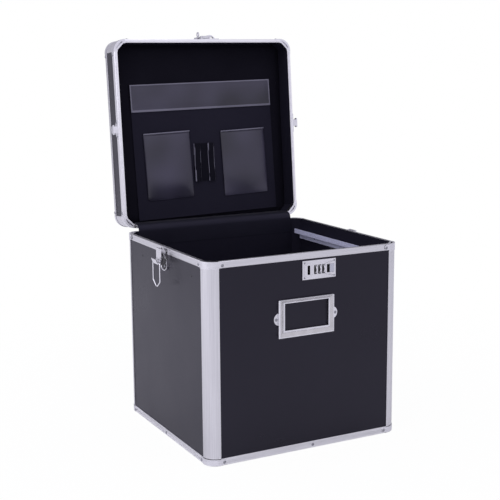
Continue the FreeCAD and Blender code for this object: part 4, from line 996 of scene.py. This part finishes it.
def model_disc_pocket(name, low, high):
    """One bag: a block, swollen by the cloth, then crowned and sewn down at its rim."""
    start_low = Vector((low.x + 1.0 * MM, low.y + 1.5 * MM, low.z))
    start_high = Vector((high.x - 1.0 * MM, high.y - 1.0 * MM, low.z + START_THICK))
    bag = new_block(name, start_low, start_high)
    apply_modifier(bag, "BEVEL", width=BAG_ROUND, segments=2, limit_method="ANGLE")
    apply_modifier(bag, "REMESH", mode="VOXEL", voxel_size=VOXEL)
    puff_up(bag, PUFF_CAP, lambda spot: min(spot.x - low.x, high.x - spot.x, spot.y - low.y) < SEAM)
    half_x = (high.x - low.x) / 2
    middle = (low + high) / 2
    room = high.z - low.z - 0.2 * MM

    def sewn_down(point):
        """Bulges the front most in the middle, brings the rim to the padding and stays inside the block."""
        across = min(abs(point.x - middle.x) / half_x, 1)
        share_y = (point.y - low.y) / (high.y - low.y)
        lift = (1 - across ** 2.0) * fade(share_y, -0.02, 0.34) * (1 - 0.25 * fade(share_y, 0.75, 1.0))
        depth = max(point.z - low.z, 0.0)
        front = fade(depth, 1.0 * MM, START_THICK)
        crease = CREASE * unevenness(point.x, point.y, CREASE_SIZE) * fade(share_y, 0, 0.1)
        rise = depth * (0.30 + 0.6 * lift) + front * (lift * BAG_RISE * MM + crease * lift)
        x = min(max(point.x, low.x), high.x)
        y = min(max(point.y, low.y), high.y)
        return Vector((x, y, low.z + room * math.tanh(rise / room * 1.15)))

    move_points(bag, sewn_down)
    apply_modifier(bag, "SUBSURF", levels=1)
    smooth(bag, 70)
    return bag


# %% [markdown]
# The hem is a tape that is sewn over the pocket's top edge. It follows the bag's bulge, whose height is
# measured on the finished bag, and Solidify gives it its thickness.

# %% Hem of a disc pocket
HEM = 2.2 * MM
HEM_THICK = 1.1 * MM
HEM_INSET = 2.0 * MM
HEM_COLUMNS = 24


def model_hem(name, bag, low, high):
    """The taped hem: a narrow band along the pocket's top edge, following its bulge."""
    top_y = high.y
    front = []
    for column in range(HEM_COLUMNS + 1):
        x = low.x + HEM_INSET + (high.x - low.x - 2 * HEM_INSET) * column / HEM_COLUMNS
        near = [v.co.z for v in bag.data.vertices
                if abs(v.co.x - x) < 3 * MM and top_y - 9 * MM < v.co.y < top_y - 2 * MM]
        front.append((x, max(near) if near else low.z + 3 * MM))
    band = new_sheet(name, (front[0][0], top_y - HEM, 0), (front[-1][0], top_y, 0), HEM_COLUMNS, 2)

    def on_front(point):
        """Lays a point of the band on the bag's front."""
        share = (point.x - front[0][0]) / (front[-1][0] - front[0][0]) * HEM_COLUMNS
        index = min(int(share), HEM_COLUMNS - 1)
        rest = share - index
        z = front[index][1] * (1 - rest) + front[index + 1][1] * rest
        return Vector((point.x, point.y, min(z + 0.1 * MM, high.z - 0.5 * MM)))

    move_points(band, on_front)
    apply_modifier(band, "SOLIDIFY", thickness=HEM_THICK, offset=0)
    soften(band)
    smooth(band, 50)
    return band


# %% [markdown]
# The two pockets are sewn on at a small slant. Each is modelled for its own place, and not copied,
# because no two sewn bags pucker alike.

# %% Both disc pockets
DISC_SLANT = 2.0

for side in ("left", "right"):
    node = f"cd_pocket_{side}"
    low, high, turn = level_box(node, DISC_SLANT)
    bag = model_disc_pocket(f"disc_pocket_{side}", low, high)
    hem = model_hem(f"disc_pocket_{side}_hem", bag, low, high)
    into_lid(bag, turn)
    into_lid(hem, turn)
    dress(bag, "vinyl")
    # Painted highlight: the hem gets the lighter piping tone.
    dress(hem, "piping_highlight")
    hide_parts(node)
    print(bag.name, "has", len(bag.data.polygons), "faces")

# %% [markdown]
# The pen loops are one elastic strip that is sewn down between two arches. Its outline across the lid
# is a row of points: flat, arch, flat, arch, flat. Two bent bands could be joined, but one line needs
# no joint. Extruding it along the pens gives the strip, and Solidify its thickness. A stripe of the
# lighter piping tone along the feet of the arches is a painted highlight.

# %% Pen loops
LOOP_FLANGE = 1.3 * MM
LOOP_EDGE = 0.6 * MM
LOOP_BAND = 0.9 * MM
ARCH_STEPS = 12
ARCH_WIDTH = 12 * MM
ARCH_FULLNESS = 0.8
STRIP_STEPS = 10
STRIP_SWAY = 0.5 * MM


def model_pen_loops():
    """The strip with its two arches, a little slack in the middle."""
    low, high = lid_box("pen_loops")
    rise = high.z - low.z - LOOP_BAND
    centres = (low.x + ARCH_WIDTH / 2, high.x - ARCH_WIDTH / 2)
    line = [(low.x - LOOP_FLANGE, low.z)]
    for centre in centres:
        for step in range(ARCH_STEPS + 1):
            angle = math.pi * (1 - step / ARCH_STEPS)
            height = rise * math.sin(angle) ** ARCH_FULLNESS
            line.append((centre + ARCH_WIDTH / 2 * math.cos(angle), low.z + height))
    line.append((high.x + LOOP_FLANGE, low.z))
    mesh = bpy.data.meshes.new("pen_loops_strip")
    pairs = [(i, i + 1) for i in range(len(line) - 1)]
    mesh.from_pydata([(x, low.y, z + LOOP_BAND / 2) for x, z in line], pairs, [])
    strip = bpy.data.objects.new("pen_loops_strip", mesh)
    bpy.context.scene.collection.objects.link(strip)
    pick_edges(strip, lambda a, b: True)
    for step in range(STRIP_STEPS):
        bpy.ops.object.mode_set(mode="EDIT")
        extrude_by((0, (high.y - low.y) / STRIP_STEPS, 0))

    def slack(point):
        """Lets the elastic sag and sway a little between its ends."""
        share = (point.y - low.y) / (high.y - low.y)
        lift = (point.z - low.z) * (1 - 0.18 * math.sin(math.pi * share) + 0.06 * math.sin(9 * share))
        sway = STRIP_SWAY * math.sin(4 * share + point.x / (9 * MM))
        return Vector((point.x + sway, point.y, low.z + lift))

    move_points(strip, slack)
    apply_modifier(strip, "SOLIDIFY", thickness=LOOP_BAND, offset=0)
    face_outwards(strip)
    smooth(strip, 50)
    dress(strip, "elastic")
    feet = [centre + side * ARCH_WIDTH / 2 for centre in centres for side in (-1, 1)]
    # Painted highlight: a lighter stripe along the foot of each arch.
    paint_faces(strip, "piping_highlight", lambda middle, look: min(abs(middle.x - foot) for foot in feet) < LOOP_EDGE)
    return strip


pen_strip = model_pen_loops()
into_lid(pen_strip)
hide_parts("pen_loops")
print("pen loops have", len(pen_strip.data.polygons), "faces")

# %% [markdown]
# The gusset is the cloth that hides the gap at the hinges. It runs up the body's back wall, round the
# hinge and into the lid, so it bends when the lid moves. Its route is worked out first: a straight
# tail, an arc about the hinge and another tail. Its length is also the length to cut.

# %% Route of the gusset
GUSSET_THICK = 0.8 * MM
TAIL_STEPS = 8
BEND_STEPS = 12


def gusset_route():
    """Points of the cloth's middle line in the Y-Z plane, from the back wall up and round into the lid."""
    low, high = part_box("hinge_gusset")
    radius = hinge.y - low.y - GUSSET_THICK
    tail = hinge.z - low.z
    route = [(hinge.y - radius, hinge.z - tail * (1 - step / TAIL_STEPS)) for step in range(TAIL_STEPS)]
    start, end = math.pi, math.pi - open_angle
    for step in range(BEND_STEPS + 1):
        angle = start + (end - start) * step / BEND_STEPS
        route.append((hinge.y + radius * math.cos(angle), hinge.z + radius * math.sin(angle)))
    along = (math.sin(end), -math.cos(end))
    y, z = route[-1]
    for step in range(1, TAIL_STEPS + 1):
        route.append((y + along[0] * tail * step / TAIL_STEPS, z + along[1] * tail * step / TAIL_STEPS))
    return route


print("gusset's route has", len(gusset_route()), "points")

# %% [markdown]
# A simulated cloth would fit only one place of the lid, so the gusset is extruded from side to side
# from the points of its route. Small ripples keep it from looking like sheet metal.

# %% Hinge gusset
GUSSET_COLUMNS = 64
RIPPLE = 0.35 * MM
RIPPLE_SIZE = 0.016


def model_gusset():
    """The rippled cloth and the length of its route."""
    low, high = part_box("hinge_gusset")
    route = gusset_route()
    mesh = bpy.data.meshes.new("gusset_cloth")
    pairs = [(i, i + 1) for i in range(len(route) - 1)]
    mesh.from_pydata([(low.x, y, z) for y, z in route], pairs, [])
    piece = bpy.data.objects.new("gusset_cloth", mesh)
    bpy.context.scene.collection.objects.link(piece)
    pick_edges(piece, lambda a, b: True)
    for column in range(GUSSET_COLUMNS):
        bpy.ops.object.mode_set(mode="EDIT")
        extrude_by(((high.x - low.x) / GUSSET_COLUMNS, 0, 0))
    centre = Vector((0, hinge.y, hinge.z))

    def rippled(point):
        """Moves a point a little in or out from the hinge."""
        out = Vector((0, point.y - centre.y, point.z - centre.z))
        away = out.length
        ripple = RIPPLE * (unevenness(point.x, away, RIPPLE_SIZE) - 0.4)
        return point + out / away * ripple

    move_points(piece, rippled)
    length = sum(math.dist(a, b) for a, b in zip(route, route[1:]))
    smooth(piece, 80)
    return piece, length


gusset, gusset_length = model_gusset()
dress(gusset, "gusset")
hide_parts("hinge_gusset")
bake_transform(gusset)

# %% [markdown]
# The number wheels carry the figures 0 to 9, one on each flat. They could be painted on with an image,
# but thin meshes stay sharp from near by. Text is set with Blender's own font, made a mesh, laid on the
# flat that faces front, and turned round the wheel's axle a tenth of a turn at a time.

# %% Figures on the wheels
FIGURE_HEIGHT = 3.3 * MM
FIGURE_RISE = 0.05 * MM


def wheel_figures(number):
    """The ten figures of one wheel as a single object."""
    axle = Vector(joints[f"dial_{number}_turn"]["pos_m"])
    low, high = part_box(f"lock_dial_{number}")
    flat_y = low.y
    centre_x = (low.x + high.x) / 2
    parts = []
    for figure in range(10):
        deselect()
        bpy.ops.object.text_add()
        text = bpy.context.object
        text.data.body = str(figure)
        text.data.size = FIGURE_HEIGHT * 1.35
        text.data.extrude = FIGURE_RISE
        bpy.ops.object.convert(target="MESH")
        made = bpy.context.object
        xs = [vertex.co.x for vertex in made.data.vertices]
        ys = [vertex.co.y for vertex in made.data.vertices]
        centred = Matrix.Translation((-(min(xs) + max(xs)) / 2, -(min(ys) + max(ys)) / 2, 0))
        upright = Matrix.Rotation(math.pi / 2, 4, "X")
        on_flat = Matrix.Translation((centre_x, flat_y - FIGURE_RISE * 0.4, axle.z))
        turned = (Matrix.Translation(axle) @ Matrix.Rotation(math.tau * figure / 10, 4, "X")
                  @ Matrix.Translation(-axle))
        made.data.transform(turned @ on_flat @ upright @ centred)
        parts.append(made)
    figures = joined(f"wheel_{number}_figures", parts)
    figures.location = (0, 0, 0)
    dress(figures, "figures")
    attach(figures, f"dial_{number}")
    return figures


for number in (1, 2, 3):
    print(wheel_figures(number).name, "made")

# %% [markdown]
# The case stands in a white tent: light comes evenly from everywhere, a little more from the left.
# Black laminate shows no colour of its own then, only the tent's reflection, which is twice as strong
# on the side seen at a slant. A picture of a studio could light it as well, but would bring its own
# colours. The camera sees the world as plain white. All other rays see a tinted white, brighter at the
# left and front.

# %% World
TENT_TINT = (0.965, 0.95, 1.08)
TENT_LIGHT = 0.74
TENT_SIDE = 0.20
TENT_BACK = 0.28
TENT_RISE = 0.12


def set_world():
    """A tinted tent for the light and the reflections, and plain white behind the case."""
    world = bpy.data.worlds.new("tent")
    bpy.context.scene.world = world
    world.use_nodes = True
    tree = world.node_tree
    tree.nodes.clear()
    coords = tree.nodes.new("ShaderNodeTexCoord")
    lean = tree.nodes.new("ShaderNodeVectorMath")
    lean.operation = "DOT_PRODUCT"
    lean.inputs[1].default_value = (-TENT_SIDE, -TENT_BACK, TENT_RISE)
    tree.links.new(coords.outputs["Generated"], lean.inputs[0])
    level = tree.nodes.new("ShaderNodeMath")
    level.operation = "ADD"
    level.inputs[1].default_value = TENT_LIGHT
    tree.links.new(lean.outputs["Value"], level.inputs[0])
    tent = tree.nodes.new("ShaderNodeBackground")
    tent.inputs["Color"].default_value = (*TENT_TINT, 1)
    tree.links.new(level.outputs["Value"], tent.inputs["Strength"])
    white = tree.nodes.new("ShaderNodeBackground")
    white.inputs["Color"].default_value = (1, 1, 1, 1)
    path = tree.nodes.new("ShaderNodeLightPath")
    mix = tree.nodes.new("ShaderNodeMixShader")
    output = tree.nodes.new("ShaderNodeOutputWorld")
    tree.links.new(path.outputs["Is Camera Ray"], mix.inputs["Fac"])
    tree.links.new(tent.outputs["Background"], mix.inputs[1])
    tree.links.new(white.outputs["Background"], mix.inputs[2])
    tree.links.new(mix.outputs["Shader"], output.inputs["Surface"])


set_world()
print("the tent's light is", TENT_LIGHT, "on the whole")

# %% [markdown]
# The floor is a wide white sheet. Near the case the camera sees a small share of its real shading,
# which keeps a faint shadow, and farther away it fades to the plain white of the background, so that no
# horizon shows.

# %% Floor
FLOOR_SIZE = 14.0
FLOOR_SHADE = 0.03
FLOOR_WHITE = (0.86, 0.86, 0.86)
FLOOR_ROUGH = 0.9
FLOOR_GLOSS = 0.1
FADE_FROM = 0.35
FADE_TO = 1.1


def add_floor():
    """The floor, as staging that isn't part of the case."""
    deselect()
    bpy.ops.mesh.primitive_plane_add(size=FLOOR_SIZE)
    floor = bpy.context.object
    floor.name = "floor"
    made, tree, shader = new_material("floor_white")
    shader.inputs["Base Color"].default_value = (*FLOOR_WHITE, 1)
    shader.inputs["Roughness"].default_value = FLOOR_ROUGH
    shader.inputs["Specular IOR Level"].default_value = FLOOR_GLOSS
    glow = tree.nodes.new("ShaderNodeEmission")
    glow.inputs["Color"].default_value = (1, 1, 1, 1)
    coords = tree.nodes.new("ShaderNodeTexCoord")
    away = tree.nodes.new("ShaderNodeVectorMath")
    away.operation = "LENGTH"
    tree.links.new(coords.outputs["Object"], away.inputs[0])
    plain = remap(tree, away.outputs["Value"], 1 - FLOOR_SHADE, 1.0, FADE_FROM, FADE_TO)
    path = tree.nodes.new("ShaderNodeLightPath")
    share = tree.nodes.new("ShaderNodeMath")
    share.operation = "MULTIPLY"
    tree.links.new(plain, share.inputs[0])
    tree.links.new(path.outputs["Is Camera Ray"], share.inputs[1])
    mix = tree.nodes.new("ShaderNodeMixShader")
    output = next(node for node in tree.nodes if node.type == "OUTPUT_MATERIAL")
    tree.links.new(share.outputs["Value"], mix.inputs["Fac"])
    tree.links.new(shader.outputs["BSDF"], mix.inputs[1])
    tree.links.new(glow.outputs["Emission"], mix.inputs[2])
    tree.links.new(mix.outputs["Shader"], output.inputs["Surface"])
    floor.data.materials.append(made)


add_floor()
print("floor is", FLOOR_SIZE, "m wide")

# %% [markdown]
# Two lamps shape the tent's even light: a wide one low on the left and a smaller one above. Area lamps
# give soft shadows, as a softbox does, where a point lamp would draw hard ones.

# %% Lamps
LAMP_TINT = (0.97, 0.96, 1.05)


def soft_light(name, place, aim, size, power):
    """A square area lamp at a place, turned to face a point."""
    lamp = bpy.data.lights.new(name, "AREA")
    lamp.size = size
    lamp.energy = power
    lamp.color = LAMP_TINT
    obj = bpy.data.objects.new(name, lamp)
    bpy.context.scene.collection.objects.link(obj)
    obj.location = place
    obj.rotation_euler = (Vector(aim) - Vector(place)).to_track_quat("-Z", "Y").to_euler()


CASE_MIDDLE = (0, 0, 0.3)
soft_light("left_lamp", (-2.4, 0.3, 1.3), CASE_MIDDLE, size=1.6, power=14)
soft_light("top_lamp", (-0.3, -0.5, 2.4), CASE_MIDDLE, size=1.4, power=8)

# %% [markdown]
# Standard keeps the colours as the materials give them.

bpy.context.scene.view_settings.view_transform = "Standard"
